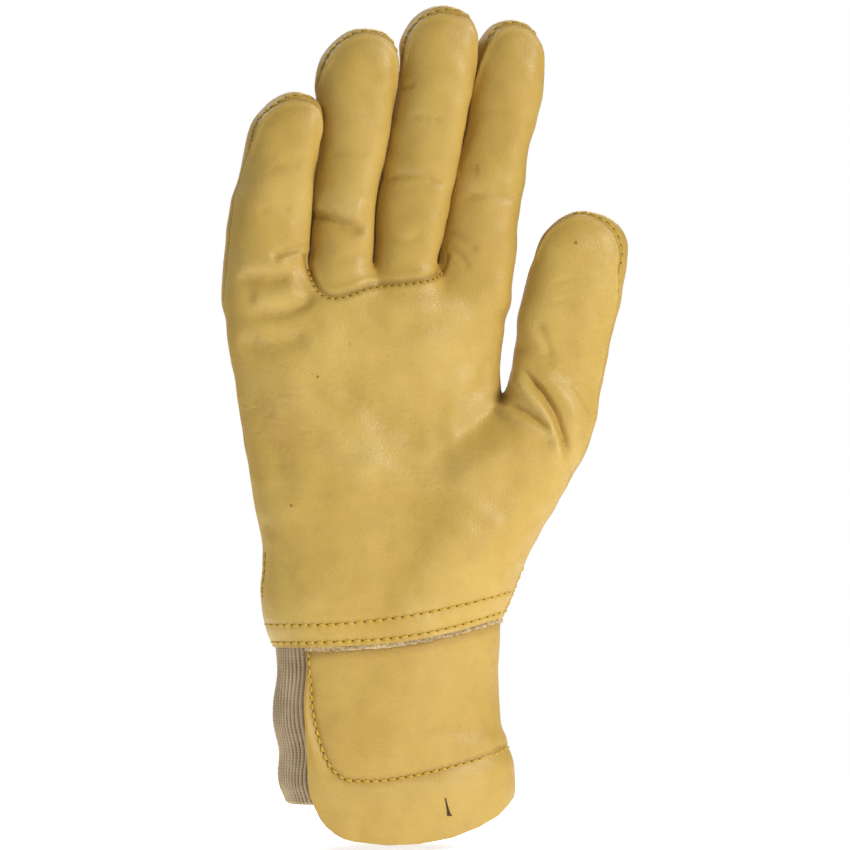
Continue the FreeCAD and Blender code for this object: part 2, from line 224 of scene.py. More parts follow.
# Every finger leans as its hinges do. Along it, l runs from the CAD's datum to the tip; u runs
# across it, towards the thumb. Edges are listed as (l, u) points. lap slants a finger's sides,
# so that its palm side laps over the next finger.
FINGER_LEAN = math.radians(8.5)
THUMB_LEAN = math.radians(11)
DIGITS = {
    "little": dict(
        base=(-45.8, 211), lean=FINGER_LEAN, knuckle=1, middle=22,
        left=[
            (-20, -12.6), (-4, -13.8), (5, -14.2), (14, -13.7), (22, -12.6), (31, -12.4), (39, -12.2),
            (55, -8.5),
        ],
        right=[(-20, 13), (4, 13.9), (15, 13), (34, 12), (42, 12.2), (55, 13.6)],
        depth=[(-20, 10.5), (10, 11.2), (30, 10.8), (55, 10.4)],
        forward=[(-20, 1), (20, 1.8), (55, 3.4)], shoulder=36, dome=18.8, lap=0.33,
    ),
    "ring": dict(
        base=(-21.23, 211), lean=FINGER_LEAN, knuckle=1, middle=26,
        left=[
            (-20, -9), (1, -9.4), (12, -10.4), (31, -11.6), (39, -11.7), (47, -13.6), (54, -16),
            (62, -15.7), (75, -13),
        ],
        right=[(-20, 12), (0, 12.2), (14, 10.9), (34, 11.5), (53, 11.7), (65, 11.6), (75, 12.2)],
        depth=[(-20, 11), (10, 11.6), (40, 11.6), (75, 11)],
        forward=[(-20, 0), (30, -0.2), (75, 1.6)], shoulder=59, dome=17.2, lap=0.33,
    ),
    "middle": dict(
        base=(3.34, 211), lean=FINGER_LEAN, knuckle=4, middle=29,
        left=[
            (-20, -10.4), (-3, -11.2), (11, -12.6), (31, -11.9), (50, -11.7), (62, -11.9), (69, -12.8),
            (85, -10.5),
        ],
        right=[(-20, 10.6), (1, 10.7), (6, 11.1), (28, 11.7), (41, 13.2), (56, 13.4), (69, 13.2), (85, 13.4)],
        depth=[(-20, 11.2), (10, 11.8), (45, 11.8), (85, 11.2)],
        forward=[(-20, 0.6), (30, 1.2), (60, 2.2), (85, 3)], shoulder=67.5, dome=17.4, lap=0.33,
    ),
    "index": dict(
        base=(28.01, 211), lean=FINGER_LEAN, knuckle=4, middle=28,
        left=[(-20, -12.4), (2, -12.5), (25, -11.8), (37, -10.4), (53, -10.3), (66, -11), (80, -10.5)],
        right=[(-20, 12.6), (0, 12.7), (9, 12.4), (26, 12.4), (34, 12.1), (43, 12.7), (60, 12.8), (80, 12.4)],
        depth=[(-20, 11), (10, 11.6), (45, 11.4), (80, 10.8)],
        forward=[(-20, 0), (30, 0), (80, 1.6)], shoulder=62, dome=17.3, lap=0.33,
    ),
    "thumb": dict(
        base=(54.1, 155), lean=THUMB_LEAN, knuckle=4, middle=27,
        left=[
            (-16, -14), (2, -14.8), (12, -16.4), (20, -16.4), (29, -17.2), (44, -16.2), (58, -15),
            (70, -13),
        ],
        right=[(-16, 14.4), (0, 15), (12, 15.6), (23, 16), (38, 16.4), (50, 16.6), (60, 16.8), (70, 16)],
        depth=[(-16, 13.5), (10, 13.4), (40, 12.8), (70, 11.8)],
        forward=[(-16, 2), (20, 2.4), (70, 3.6)], shoulder=51, dome=17.8, lap=0,
    ),
}


def along_digit(digit, x, z):
    """(u, l) of the points in a digit's own directions."""
    x0, z0 = digit["base"]
    c, s = math.cos(digit["lean"]), math.sin(digit["lean"])
    return (x - x0) * c - (z - z0) * s, (x - x0) * s + (z - z0) * c


def from_digit(digit, u, l):
    x0, z0 = digit["base"]
    c, s = math.cos(digit["lean"]), math.sin(digit["lean"])
    return x0 + u * c + l * s, z0 - u * s + l * c


def digit_field(digit, x, y, z):
    """Distance from a digit's skin, negative inside: a soft-sided tube with a rounded tip."""
    u, l = along_digit(digit, x, z)
    u = u + digit["lap"] * y
    left, right = curve_through(digit["left"], l), curve_through(digit["right"], l)
    half = (right - left) / 2
    depth = curve_through(digit["depth"], l)
    v = y + curve_through(digit["forward"], l)
    side = (np.abs((u - (left + right) / 2) / half) ** 2.5 + np.abs(v / depth) ** 2.3) ** (1 / 2.4)
    end = np.clip((l - digit["shoulder"]) / digit["dome"], 0, None)
    start = np.clip((-8 - l) / 14.0, 0, None)
    return ((side**2.3 + end**2.3 + start**2.3) ** (1 / 2.3) - 1) * depth


# The palm, by height: (z, x) of its edges, (z, depth) in front and behind.
PALM_LEFT = [
    (60, -42.6), (70, -43.2), (78, -46.2), (86, -47.8), (96, -47.6), (105, -47.3), (121, -49.7),
    (138, -53), (155, -55.7), (172, -58.7), (188, -60.3), (206, -60.6),
]
PALM_RIGHT = [
    (60, 36), (71, 36.2), (80, 36.8), (90, 37.6), (110, 41), (140, 40), (160, 36.6), (172, 36.7),
    (190, 38.5), (206, 40.4),
]
PALM_FRONT = [
    (60, 25.4), (72, 25.6), (85, 24.6), (105, 20.5), (130, 17), (160, 15.2), (185, 15.4), (206, 13),
]
PALM_BACK = [(60, 25.6), (72, 25.8), (90, 24.4), (115, 20.6), (145, 18.2), (175, 16.6), (206, 13.4)]
PALM_TOP = 187.0  # where the palm starts to round over between the fingers
PALM_CAP = 13.5


def palm_field(x, y, z):
    left, right = curve_through(PALM_LEFT, z), curve_through(PALM_RIGHT, z)
    depth = np.where(y < 0, curve_through(PALM_FRONT, z), curve_through(PALM_BACK, z))
    across = (x - (left + right) / 2) / ((right - left) / 2)
    side = (np.abs(across) ** 2.7 + np.abs(y / depth) ** 2.4) ** (1 / 2.5)
    end = np.clip((z - PALM_TOP) / PALM_CAP, 0, None)
    return ((side**2.4 + end**2.4) ** (1 / 2.4) - 1) * depth


# Ball of the thumb: a tapered, forward-leaning form from above the wrist to the thumb's root.
BALL_LOW = (23.0, -3.5, 101.0)
BALL_HIGH = (54.0, -2.6, 155.0)
BALL_WIDTHS = (17.5, 15.4)
BALL_DEPTHS = (20.0, 13.6)
BALL_BULGE = 2.6


def ball_field(x, y, z):
    span_x, span_z = BALL_HIGH[0] - BALL_LOW[0], BALL_HIGH[2] - BALL_LOW[2]
    length = math.hypot(span_x, span_z)
    along = ((x - BALL_LOW[0]) * span_x + (z - BALL_LOW[2]) * span_z) / length
    across = ((x - BALL_LOW[0]) * span_z - (z - BALL_LOW[2]) * span_x) / length
    t = np.clip(along / length, 0, 1)
    bulge = BALL_BULGE * np.exp(-(((z - 127) / 14) ** 2))
    width = BALL_WIDTHS[0] + (BALL_WIDTHS[1] - BALL_WIDTHS[0]) * t + bulge
    depth = BALL_DEPTHS[0] + (BALL_DEPTHS[1] - BALL_DEPTHS[0]) * t
    v = y - (BALL_LOW[1] + (BALL_HIGH[1] - BALL_LOW[1]) * t)
    side = (np.abs(across / width) ** 2.3 + np.abs(v / depth) ** 2.3) ** (1 / 2.3)
    low_end = np.clip(-along / 19.0, 0, None)
    high_end = np.clip((along - length) / 12.0, 0, None)
    return ((side**2.2 + low_end**2.2 + high_end**2.2) ** (1 / 2.2) - 1) * depth


# The thumb's ball runs softly into the palm, but its root stands clear above the crotch.
THUMB_CROTCH = 157.0
soft = 1.2 + 9.8 * smooth_step(THUMB_CROTCH + 2, THUMB_CROTCH - 22, grid_z)
thumb = smooth_union(
    digit_field(DIGITS["thumb"], grid_x, grid_y, grid_z), ball_field(grid_x, grid_y, grid_z), 5.0
)
palm = smooth_union(palm_field(grid_x, grid_y, grid_z), thumb, soft)

# Neighbouring fingers press on each other. Each is cut back to the surface halfway between
# them, less half a gap, from its crotch upwards.
FINGER_GAP = 1.05
CROTCHES = {("little", "ring"): 205.5, ("ring", "middle"): 201.5, ("middle", "index"): 205.0}
fingers = {
    name: digit_field(digit, grid_x, grid_y, grid_z) for name, digit in DIGITS.items() if name != "thumb"
}
parted = dict(fingers)
for (a, b), crotch in CROTCHES.items():
    webbed = 12.0 * smooth_step(crotch + 1.0, crotch - 3.0, grid_z)
    halfway = (fingers[a] - fingers[b]) / 2
    parted[a] = np.maximum(parted[a], halfway + FINGER_GAP / 2 - webbed)
    parted[b] = np.maximum(parted[b], FINGER_GAP / 2 - halfway - webbed)
skin_field = palm
for field in parted.values():
    skin_field = np.minimum(skin_field, smooth_union(palm, field, 7.0))

volume = openvdb.FloatGrid()
volume.copyFromArray(np.ascontiguousarray(skin_field, dtype=np.float32))
sample_points, quads = volume.convertToQuads(isovalue=0.0)
skin = np.asarray(sample_points, dtype=np.float64) * GRID + LOW_CORNER
quads = np.asarray(quads, dtype=np.int64)


def newell_normals(points, faces):
    """Normal of every vertex, from the faces round it."""
    corners = points[faces]
    face_normals = np.cross(corners[:, 2] - corners[:, 0], corners[:, 3] - corners[:, 1])
    normals = np.zeros_like(points)
    for k in range(4):
        np.add.at(normals, faces[:, k], face_normals)
    return normals / np.maximum(np.linalg.norm(normals, axis=1, keepdims=True), 1e-12)


normals = newell_normals(skin, quads)
if (normals[:, 2] * (skin[:, 2] - 180) > 0).mean() < 0.5:
    quads = quads[:, ::-1]
    normals = -normals


# Folds and creases: (amount, half width, points) in millimetres on the palm side, points as
# (x, z). A negative amount is a crease pressed in, a positive one a soft ridge.
FOLDS = [
    # little finger
    (-1.3, 1.9, [(-57, 198.6), (-50, 198.4), (-43, 198.4), (-36, 200)]),
    (0.9, 3.2, [(-57, 203.5), (-46, 203.5), (-36, 204)]),
    (-1.4, 2.2, [(-53, 187.5), (-45.6, 186.6), (-38, 187.5), (-31.6, 191), (-29, 196)]),
    (-1.2, 1.5, [(-44.6, 205.6), (-38, 208.4), (-29.5, 210)]),
    (1.3, 3.6, [(-52, 192), (-42, 192.6), (-33, 195.6)]),
    (-0.42, 1.9, [(-49, 222), (-43, 223.8), (-35.5, 222.6)]),
    (-0.36, 1.6, [(-46, 236), (-39, 238.4), (-32, 237.6)]),
    # ring finger
    (-1.9, 2.1, [(-31, 222.6), (-24, 219.8), (-17, 217), (-9.6, 215.6)]),
    (1.5, 3.4, [(-30, 228), (-20, 224.4), (-10, 221)]),
    (-0.42, 1.6, [(-26, 241.5), (-18, 243.2), (-8.5, 241)]),
    (-0.36, 1.6, [(-22, 204.5), (-14, 206.8), (-9, 206)]),
    # middle finger
    (-0.8, 1.3, [(-6.4, 233), (2, 234.8), (9, 234.2), (17.4, 231.4)]),
    (0.5, 2.8, [(-5.5, 238), (5, 239.2), (17, 236.4)]),
    (-0.42, 1.4, [(3.6, 254.3), (9, 255.6), (16.6, 253.6)]),
    (-0.36, 1.2, [(1, 265.6), (6.4, 266.4)]),
    (-0.48, 1.9, [(-6, 214), (2, 212), (10.5, 214.6)]),
    # index finger
    (-0.54, 1.6, [(20.6, 235.8), (25, 237), (29, 236.6)]),
    (-0.7, 1.5, [(21, 226.6), (31, 228.2), (43.6, 225.8)]),
    (0.5, 2.8, [(21, 231.4), (31, 232.8), (43, 230.4)]),
    (-0.54, 1.7, [(16.2, 216), (22, 213), (29, 208)]),
    (-0.48, 1.6, [(17, 210.6), (22, 206.5), (25, 201.5)]),
    (-0.36, 1.6, [(26, 256), (33, 257.6), (41, 256.4)]),
    # palm
    (1.2, 6, [(-31, 177), (-37, 165), (-31, 150), (-17.5, 138), (2.8, 129), (24, 120)]),
    (-1.3, 3.6, [(-55, 180), (-49, 175), (-40, 176), (-29, 179)]),
    (-1, 6, [(-52, 164), (-46, 148), (-41, 132), (-36, 118)]),
    (-1, 6.5, [(-26, 170), (-14, 158), (0, 148), (14, 139)]),
    (0.9, 5, [(17, 122), (24, 130), (31, 136.5), (41, 141.5)]),
    (-0.4, 3.4, [(20.5, 161), (15.6, 153), (14, 144), (17.5, 134), (23, 127.5)]),
    (-0.35, 3, [(29.5, 163), (24, 155), (22.5, 147), (26, 139)]),
    (-0.5, 2.2, [(32.6, 172.4), (30.4, 165.6), (31, 158.4)]),
    (-0.4, 3.4, [(-14, 189), (-4, 183.5), (8, 182), (20, 186)]),
    (0.4, 4.6, [(-20, 182), (-6, 175.4), (12, 174), (26, 179)]),
    (-0.3, 2.4, [(-50, 152), (-44, 141), (-39, 130)]),
    (-0.45, 2, [(-47, 116), (-41.5, 107), (-35, 98)]),
    (0.4, 2.4, [(-45, 111), (-38, 101), (-32, 93)]),
    (-0.3, 1.4, [(-43, 104), (-37, 95), (-32, 88)]),
    (0.35, 4, [(-12, 112), (2, 104), (12, 94)]),
    # root of the thumb
    (1.6, 2.3, [(31, 156), (35.8, 153.6), (43, 150.3), (50, 146), (54, 142.6)]),
    (-1.9, 1.7, [(38, 156.4), (41, 153.8), (44.6, 151.6), (50.8, 147.8), (54, 145.4)]),
    (2.2, 2.4, [(40, 167), (43, 162.8), (46.4, 158), (51, 152), (54.6, 144.2), (56.4, 134)]),
    (-2.5, 1.4, [(42.4, 168.6), (46.2, 163.8), (51, 158.2), (54.9, 151.2), (58, 142.4), (59.2, 134)]),
    (0.9, 2.4, [(48, 168), (55, 161.5), (60.5, 153), (63.4, 143)]),
    (-0.8, 3, [(38.6, 176.5), (44, 173.4), (50, 170.6), (56.5, 169)]),
    (-0.7, 1.8, [(48.6, 184.8), (51.6, 177), (53.6, 170.6)]),
    (-0.4, 1.2, [(60, 164), (64.6, 157.6), (67.4, 151)]),
    (-0.35, 1, [(52, 196), (61, 198.6), (70, 197.6)]),
    (-0.3, 1, [(50.6, 189.6), (58, 191), (66, 189.4)]),
]
# The same on the back of the hand.
BACK_FOLDS = [
    (-0.5, 1.4, [(-55, 214), (-46, 216), (-38, 214)]),
    (-0.5, 1.4, [(-30, 216), (-21, 218), (-13, 216)]),
    (-0.5, 1.4, [(-6, 219), (4, 221), (13, 219)]),
    (-0.5, 1.4, [(19, 218), (29, 220), (38, 217)]),
    (-0.4, 1.2, [(-50, 233), (-43, 234.6), (-34, 233.4)]),
    (-0.4, 1.2, [(-27, 238.6), (-18, 240.2), (-9, 238.8)]),
    (-0.4, 1.2, [(-3, 241), (7, 243), (17, 241)]),
    (-0.4, 1.2, [(22, 239), (31, 241), (41, 239)]),
    (0.35, 5, [(-44, 200), (-34, 160), (-22, 120)]),
    (0.35, 5, [(-20, 204), (-16, 165), (-10, 125)]),
    (0.35, 5, [(4, 206), (2, 168), (0, 128)]),
    (0.35, 5, [(28, 204), (20, 168), (10, 130)]),
    (-0.6, 2.4, [(52, 152), (44, 144), (34, 128)]),
    (-0.3, 3.4, [(-40, 100), (-15, 104), (15, 101)]),
]


def distance_to_line(points, line):
    """Distance of each (x, z) point from a chain of straight runs, and its share of the way along."""
    line = np.array(line, float)
    lengths = np.linalg.norm(np.diff(line, axis=0), axis=1)
    done = np.concatenate([[0], np.cumsum(lengths)])
    best = np.full(len(points), 1e9)
    share = np.zeros(len(points))
    for k, (a, b) in enumerate(zip(line, line[1:])):
        t = np.clip((points - a) @ (b - a) / lengths[k] ** 2, 0, 1)
        d = np.linalg.norm(points - a - t[:, None] * (b - a), axis=1)
        nearer = d < best
        best[nearer] = d[nearer]
        share[nearer] = (done[k] + t[nearer] * lengths[k]) / done[-1]
    return best, share


def rounded_line(line, steps=8):
    """The chain's points joined by a smooth curve."""
    line = np.array(line, float)
    at = np.arange(len(line))
    t = np.linspace(0, len(line) - 1, steps * (len(line) - 1) + 1)
    slopes = np.gradient(line, axis=0) if len(line) > 2 else np.repeat(line[1:] - line[:1], 2, axis=0)
    k = np.minimum(t.astype(int), len(line) - 2)
    s = (t - at[k])[:, None]
    a = line[k] * (1 + 2 * s) * (1 - s) ** 2 + line[k + 1] * s * s * (3 - 2 * s)
    return a + s * (1 - s) * (slopes[k] * (1 - s) - slopes[k + 1] * s)


def fold_heights(points, folds):
    """Height that the folds give each (x, z) point; they fade out at their ends."""
    height = np.zeros(len(points))
    for amount, half_width, line in folds:
        line = rounded_line(line)
        reach = 3.2 * half_width
        low, high = line.min(0) - reach, line.max(0) + reach
        near = np.nonzero(np.all((points > low) & (points < high), axis=1))[0]
        d, share = distance_to_line(points[near], line)
        fade = smooth_step(0, 0.22, share) * smooth_step(1, 0.78, share)
        height[near] += amount * np.exp(-((d / half_width) ** 2)) * fade * (d < reach)
    return height


def ripples(points, wavelength, seed, count=14):
    """Gentle uneven swell, about 1 high, from crossing waves near one wavelength."""
    random = np.random.default_rng(seed)
    directions = random.normal(size=(count, 3))
    directions /= np.linalg.norm(directions, axis=1, keepdims=True)
    lengths = wavelength * random.uniform(0.7, 1.5, count)
    phases = random.uniform(0, 2 * math.pi, count)
    total = np.zeros(len(points))
    for direction, length, phase in zip(directions, lengths, phases):
        total += np.sin(points @ direction * (2 * math.pi / length) + phase)
    return total / math.sqrt(count / 2)


facing_front = smooth_step(0.05, -0.35, normals[:, 1])
facing_back = smooth_step(-0.05, 0.35, normals[:, 1])
seen = skin[:, [0, 2]]
fold = facing_front * fold_heights(seen, FOLDS) + facing_back * fold_heights(seen, BACK_FOLDS)
crotch_distance = np.hypot(skin[:, 0] - 37.4, skin[:, 2] - 157.5)
off_crotch = 1 - np.exp(-((crotch_distance / 3.6) ** 2))
fold = fold * off_crotch
swell = 0.30 * ripples(skin, 30.0, 3) + 0.12 * ripples(skin, 11.0, 5)
creasing = ripples(skin * [1, 1, 2.2], 6.5, 9)
near_fold = np.clip(1.8 * np.abs(fold), 0, 1)
patchy = smooth_step(-0.2, 1.2, ripples(skin, 38.0, 12))
fine = -(0.05 * patchy + 0.12 * near_fold) * np.exp(-((creasing / 0.28) ** 2))
bare = skin
skin = bare + normals * (fold + swell + fine)[:, None]
normals = newell_normals(skin, quads)

# Which digit each point of the skin belongs to, and how far along it.
digit_names = list(DIGITS)
HAND = -1
closest = np.full(len(skin), 1e9)
digit_of = np.full(len(skin), HAND)
digit_u = np.zeros(len(skin))
digit_l = np.full(len(skin), -99.0)
KNUCKLE_CUT = {"little": -6.0, "ring": -6.0, "middle": -3.5, "index": -3.5, "thumb": -1.5}
for k, name in enumerate(digit_names):
    digit = DIGITS[name]
    u, l = along_digit(digit, bare[:, 0], bare[:, 2])
    left, right = curve_through(digit["left"], l), curve_through(digit["right"], l)
    across = (u + digit["lap"] * bare[:, 1] - (left + right) / 2) / ((right - left) / 2)
    distance = digit_field(digit, *bare.T)
    limit = 1.10 if name == "thumb" else 1.6
    mine = (distance < closest) & (np.abs(across) < limit) & (l > KNUCKLE_CUT[name] - 12)
    closest[mine] = distance[mine]
    digit_of[mine] = k
    digit_u[mine] = across[mine]
    digit_l[mine] = along_digit(digit, skin[mine, 0], skin[mine, 2])[1]
cut_level = np.array([KNUCKLE_CUT[name] for name in digit_names] + [0.0])[digit_of]
past_cut = digit_l - cut_level  # above 0 on a finger, below on the hand


# The seams between front and back run at a height y above the hand's middle plane. Down the
# little finger's side and the thumb's they lie towards the palm, and over every tip too, so that
# the back leather shows as a rim. Between the fingers a fourchette lies between two seams.
TIP_SEAM = -6.2
TIP_SEAM_RISE = 2.6
THUMB_SEAM_TILT = -2.4
OUTER_SEAM = -2.6
FOURCHETTE_MIDDLE = 3.6
FOURCHETTE_HALF = 3.8
outer_left = {"little": OUTER_SEAM, "thumb": 1.0}
outer_right = {"index": -1.0, "thumb": -7.4}


def tip_seam(name, side):
    """y of the seam over a tip; side runs from -1 to 1 across the digit."""
    side = np.clip(side, -1, 1)
    return TIP_SEAM + (THUMB_SEAM_TILT * side if name == "thumb" else TIP_SEAM_RISE * side**2)


def seam_heights(points, digit_of, across, l):
    """y of the front panel's edge and of the back panel's edge, at every point."""
    x, z = points[:, 0], points[:, 2]
    middle = OUTER_SEAM * smooth_step(-30, -46, x)
    in_web = smooth_step(48, 40, x) * smooth_step(142, 150, z)
    on_ball = smooth_step(166, 150, z) * smooth_step(24, 34, x) * (1 - in_web)
    middle = middle + (outer_right["thumb"] - middle) * on_ball
    front, back = middle.copy(), middle.copy()
    for k, name in enumerate(digit_names):
        digit = DIGITS[name]
        mine = np.nonzero((digit_of == k) & (l > KNUCKLE_CUT[name] - 1))[0]
        side = across[mine]
        along = l[mine]
        shoulder = digit["shoulder"]
        tip = tip_seam(name, side)
        share = smooth_step(shoulder - 16, shoulder + 3, along)
        left = outer_left.get(name, FOURCHETTE_MIDDLE)
        right = outer_right.get(name, FOURCHETTE_MIDDLE)
        shaft = left + (right - left) * smooth_step(-0.5, 0.5, side)
        centre = shaft + (tip - shaft) * share
        strip_left = 0.0 if name in outer_left else 1.0
        strip_right = 0.0 if name in outer_right else 1.0
        strip = strip_left + (strip_right - strip_left) * (side > 0)
        half = FOURCHETTE_HALF * smooth_step(shoulder + 1, shoulder - 15, along) * strip
        forward = curve_through(digit["forward"], along)
        front[mine] = centre - half - forward * share
        back[mine] = centre + half - forward * share
    return front, back


# Seam under the ring and middle fingers, as (x, z).
GUNN_SEAM = [
    (-32, 207), (-30.6, 201.5), (-27.6, 195.4), (-23, 192.9), (-16.5, 193.9), (-9, 196.6), (2, 197.8),
    (10, 198.9), (15, 201.2), (17.4, 207),
]
# Hem: its edge rises towards the thumb.
HEM_EDGE = [(-60, 70.2), (-42, 70.3), (-20, 71), (2.8, 72.8), (20.3, 76.2), (37.1, 80.8), (60, 87)]


everywhere = np.arange(len(skin))
STEP = 0.05  # for the measures' slopes


def snap(points, measure, top=400.0):
    """Tells which faces have a measure above 0, and moves the points below top on their border
    to where it is 0."""
    above = measure(points, everywhere)[quads].mean(1) > 0
    up, down = np.zeros(len(points), bool), np.zeros(len(points), bool)
    up[quads[above].ravel()] = True
    down[quads[~above].ravel()] = True
    edge = np.nonzero(up & down & (points[:, 2] < top))[0]
    for _ in range(2):
        here = measure(points[edge], edge)
        stepped = [measure(points[edge] + step, edge) for step in np.eye(3) * STEP]
        slope = (np.stack(stepped, axis=1) - here[:, None]) / STEP
        slope -= normals[edge] * (slope * normals[edge]).sum(1)[:, None]
        move = -here[:, None] * slope / np.maximum((slope**2).sum(1), 0.15)[:, None]
        size = np.linalg.norm(move, axis=1, keepdims=True)
        points[edge] += move * np.minimum(1, 0.9 * GRID / np.maximum(size, 1e-9)) * (size < 2.5 * GRID)
    return above


def front_seam(points, index):
    front, _ = seam_heights(points, digit_of[index], digit_u[index], digit_l[index])
    return points[:, 1] - front


def back_seam(points, index):
    _, back = seam_heights(points, digit_of[index], digit_u[index], digit_l[index])
    return points[:, 1] - back


def gunn_seam(points, index):
    line = np.array(GUNN_SEAM)
    beyond = np.maximum(line[0, 0] - points[:, 0], 0) + np.maximum(points[:, 0] - line[-1, 0], 0)
    return points[:, 2] - np.interp(points[:, 0], line[:, 0], line[:, 1]) - 30 * beyond


def hem_level(points, index):
    return points[:, 2] - curve_through(HEM_EDGE, points[:, 0])


def ring_at(levels):
    """Where a ring round each digit, at its level along it, is crossed: below 0 under the ring."""
    def measure(points, index):
        total = np.full(len(points), -9.0)
        for k, name in enumerate(digit_names):
            mine = digit_of[index] == k
            total[mine] = along_digit(DIGITS[name], points[mine, 0], points[mine, 2])[1] - levels[name]
        return total
    return measure


MIDDLE_RING = {name: (digit["knuckle"] + digit["middle"]) / 2 for name, digit in DIGITS.items()}
behind_front = snap(skin, front_seam)
behind_back = snap(skin, back_seam)
above_gunn = snap(skin, gunn_seam, 206.5)
above_hem = snap(skin, hem_level)
above_cut = snap(skin, ring_at(KNUCKLE_CUT))
above_middle = snap(skin, ring_at(MIDDLE_RING))

# The seam allowances draw the leather in: a fine groove, with a low welt on the front's side.
level = np.sqrt(np.maximum(1 - normals[:, 1] ** 2, 0.02))
from_front = front_seam(skin, everywhere) / level
from_back = back_seam(skin, everywhere) / level
on_digit = (digit_of != HAND) & (past_cut > -1)
strip_here = on_digit & (from_back - from_front < -1.0)
groove = 0.55 * np.exp(-((from_front / 0.75) ** 2))
groove = np.maximum(groove, np.where(strip_here, 0.55 * np.exp(-((from_back / 0.75) ** 2)), 0))
tip_share = np.zeros(len(skin))
for k, name in enumerate(digit_names):
    mine = digit_of == k
    tip_share[mine] = smooth_step(DIGITS[name]["shoulder"] - 18, DIGITS[name]["shoulder"] - 2, digit_l[mine])
welt = (0.25 + 0.35 * tip_share) * np.exp(-(((from_front + 2.0) / 1.3) ** 2))
gunn_distance, _ = distance_to_line(skin[:, [0, 2]], rounded_line(GUNN_SEAM))
on_gunn = (normals[:, 1] < -0.2) & (skin[:, 1] < -5) & (skin[:, 2] < 212)
gunn_groove = np.where(on_gunn, 0.7 * np.exp(-((gunn_distance / 0.8) ** 2)), 0)
gunn_welt = np.where(on_gunn, 0.3 * np.exp(-(((gunn_distance - 2.2) / 1.2) ** 2)), 0)
groove = groove * off_crotch
welt = welt * off_crotch
skin = skin + normals * (welt + gunn_welt - groove - gunn_groove)[:, None]
normals = newell_normals(skin, quads)

# Rows of stitches on the hand, laid on the skin: (places, outward directions) of needle holes.
STITCH_PITCH = 3.3
skin_tree = BVHTree.FromPolygons(skin.tolist(), quads.tolist())


def lay_row(starts, aims, pitch=STITCH_PITCH, reach=200.0):
    """Needle holes one pitch apart along the places where rays from starts towards aims meet the skin."""
    hits = []
    for start, aim in zip(starts, aims):
        hit, *_ = skin_tree.ray_cast(Vector(start), Vector(aim), reach)
        if hit is not None:
            hits.append(np.array(hit))
    hits = np.array(hits)
    gone = np.concatenate([[0], np.cumsum(np.linalg.norm(np.diff(hits, axis=0), axis=1))])
    count = max(2, round(gone[-1] / pitch))
    even = np.linspace(0, gone[-1], count + 1)
    holes = np.stack([np.interp(even, gone, hits[:, axis]) for axis in range(3)], axis=1)
    found = [skin_tree.find_nearest(Vector(hole)) for hole in holes]
    return np.array([f[0] for f in found]), np.array([f[1] for f in found]) * skin_turn


skin_turn = 1.0 if Vector(skin_tree.ray_cast(Vector((0, -90, 120)), Vector((0, 1, 0)))[1]).y < 0 else -1.0

# Hem: two rows, right round the wrist.
HEM_LOWER_ROW = [(x, z + 1.7) for x, z in HEM_EDGE]
HEM_UPPER_ROW = [(-60, 77.8), (-42, 78.2), (-19.6, 78.9), (-3, 80.6), (15.6, 83.8), (37.8, 89.0), (60, 95.0)]


def row_round(line):
    """Needle holes right round the hand at the height that line gives for every x."""
    starts, aims = [], []
    for angle in np.radians(np.linspace(180, -180, 361)):
        c, s = math.cos(angle), math.sin(angle)
        height = 78.0
        for _ in range(3):
            hit, *_ = skin_tree.ray_cast(Vector((60 * c - 4, 60 * s, height)), Vector((-c, -s, 0)))
            height = float(curve_through(line, hit.x))
        starts.append((60 * c - 4, 60 * s, height))
        aims.append((-c, -s, 0))
    return lay_row(starts, aims)


gunn_line = rounded_line(GUNN_SEAM, 16)
gunn_line = gunn_line[(gunn_line[:, 1] < 203.0)] - [0, 1.0]
side_heights = np.linspace(84.0, 99.0, 30)
hand_rows = {
    "hem_stitching_lower": [row_round(HEM_LOWER_ROW)],
    "hem_stitching_upper": [row_round(HEM_UPPER_ROW)],
    "gunn_seam_stitching": [lay_row([(x, -40, z) for x, z in gunn_line], [(0, 1, 0)] * len(gunn_line), 2.6)],
    "side_seam_stitching": [
        lay_row([(90, -6.0, z) for z in side_heights], [(-1, 0, 0)] * 30),
        lay_row([(-90, -6.4, z + 4) for z in side_heights], [(1, 0, 0)] * 30),
    ],
}

# Over every tip, on the rim of back leather just behind the seam.
TIP_ROW_SETBACK = 1.3
TIP_RAY = 2.5  # how far outside the tip a ray starts
TIP_ARCS = {
    "little": (190, 25), "ring": (176, 30), "middle": (172, 45), "index": (136, 45), "thumb": (112, -25),
}  # where each row starts and ends round the tip, in degrees
tip_rows = {}
for name, (first, last) in TIP_ARCS.items():
    digit = DIGITS[name]
    shoulder = digit["shoulder"]
    left, right = curve_through(digit["left"], shoulder), curve_through(digit["right"], shoulder)
    starts, aims = [], []
    for angle in np.radians(np.linspace(first, last, 60)):
        c, s = math.cos(angle), math.sin(angle)
        row_y = float(tip_seam(name, c) - curve_through(digit["forward"], shoulder)) + TIP_ROW_SETBACK
        out = (right - left) / 2 + TIP_RAY
        far = from_digit(digit, (left + right) / 2 + out * c, shoulder + (digit["dome"] + TIP_RAY) * s)
        near = from_digit(digit, (left + right) / 2, shoulder)
        starts.append((far[0], row_y, far[1]))
        aims.append((near[0] - far[0], 0, near[1] - far[1]))
    tip_rows[name] = lay_row(starts, aims, reach=9.0)

# Each pull of the thread dimples the leather at its needle holes.
every_row = [row for rows in hand_rows.values() for row in rows] + list(tip_rows.values())
every_hole = np.concatenate([holes for holes, _ in every_row])
hole_tree = KDTree(len(every_hole))
for hole in every_hole:
    hole_tree.insert(hole, 0)
hole_tree.balance()
to_hole = np.array([hole_tree.find(point)[2] for point in skin])
dimple = np.exp(-((to_hole / 1.3) ** 2))
skin = skin - normals * (0.32 * dimple)[:, None]
normals = newell_normals(skin, quads)

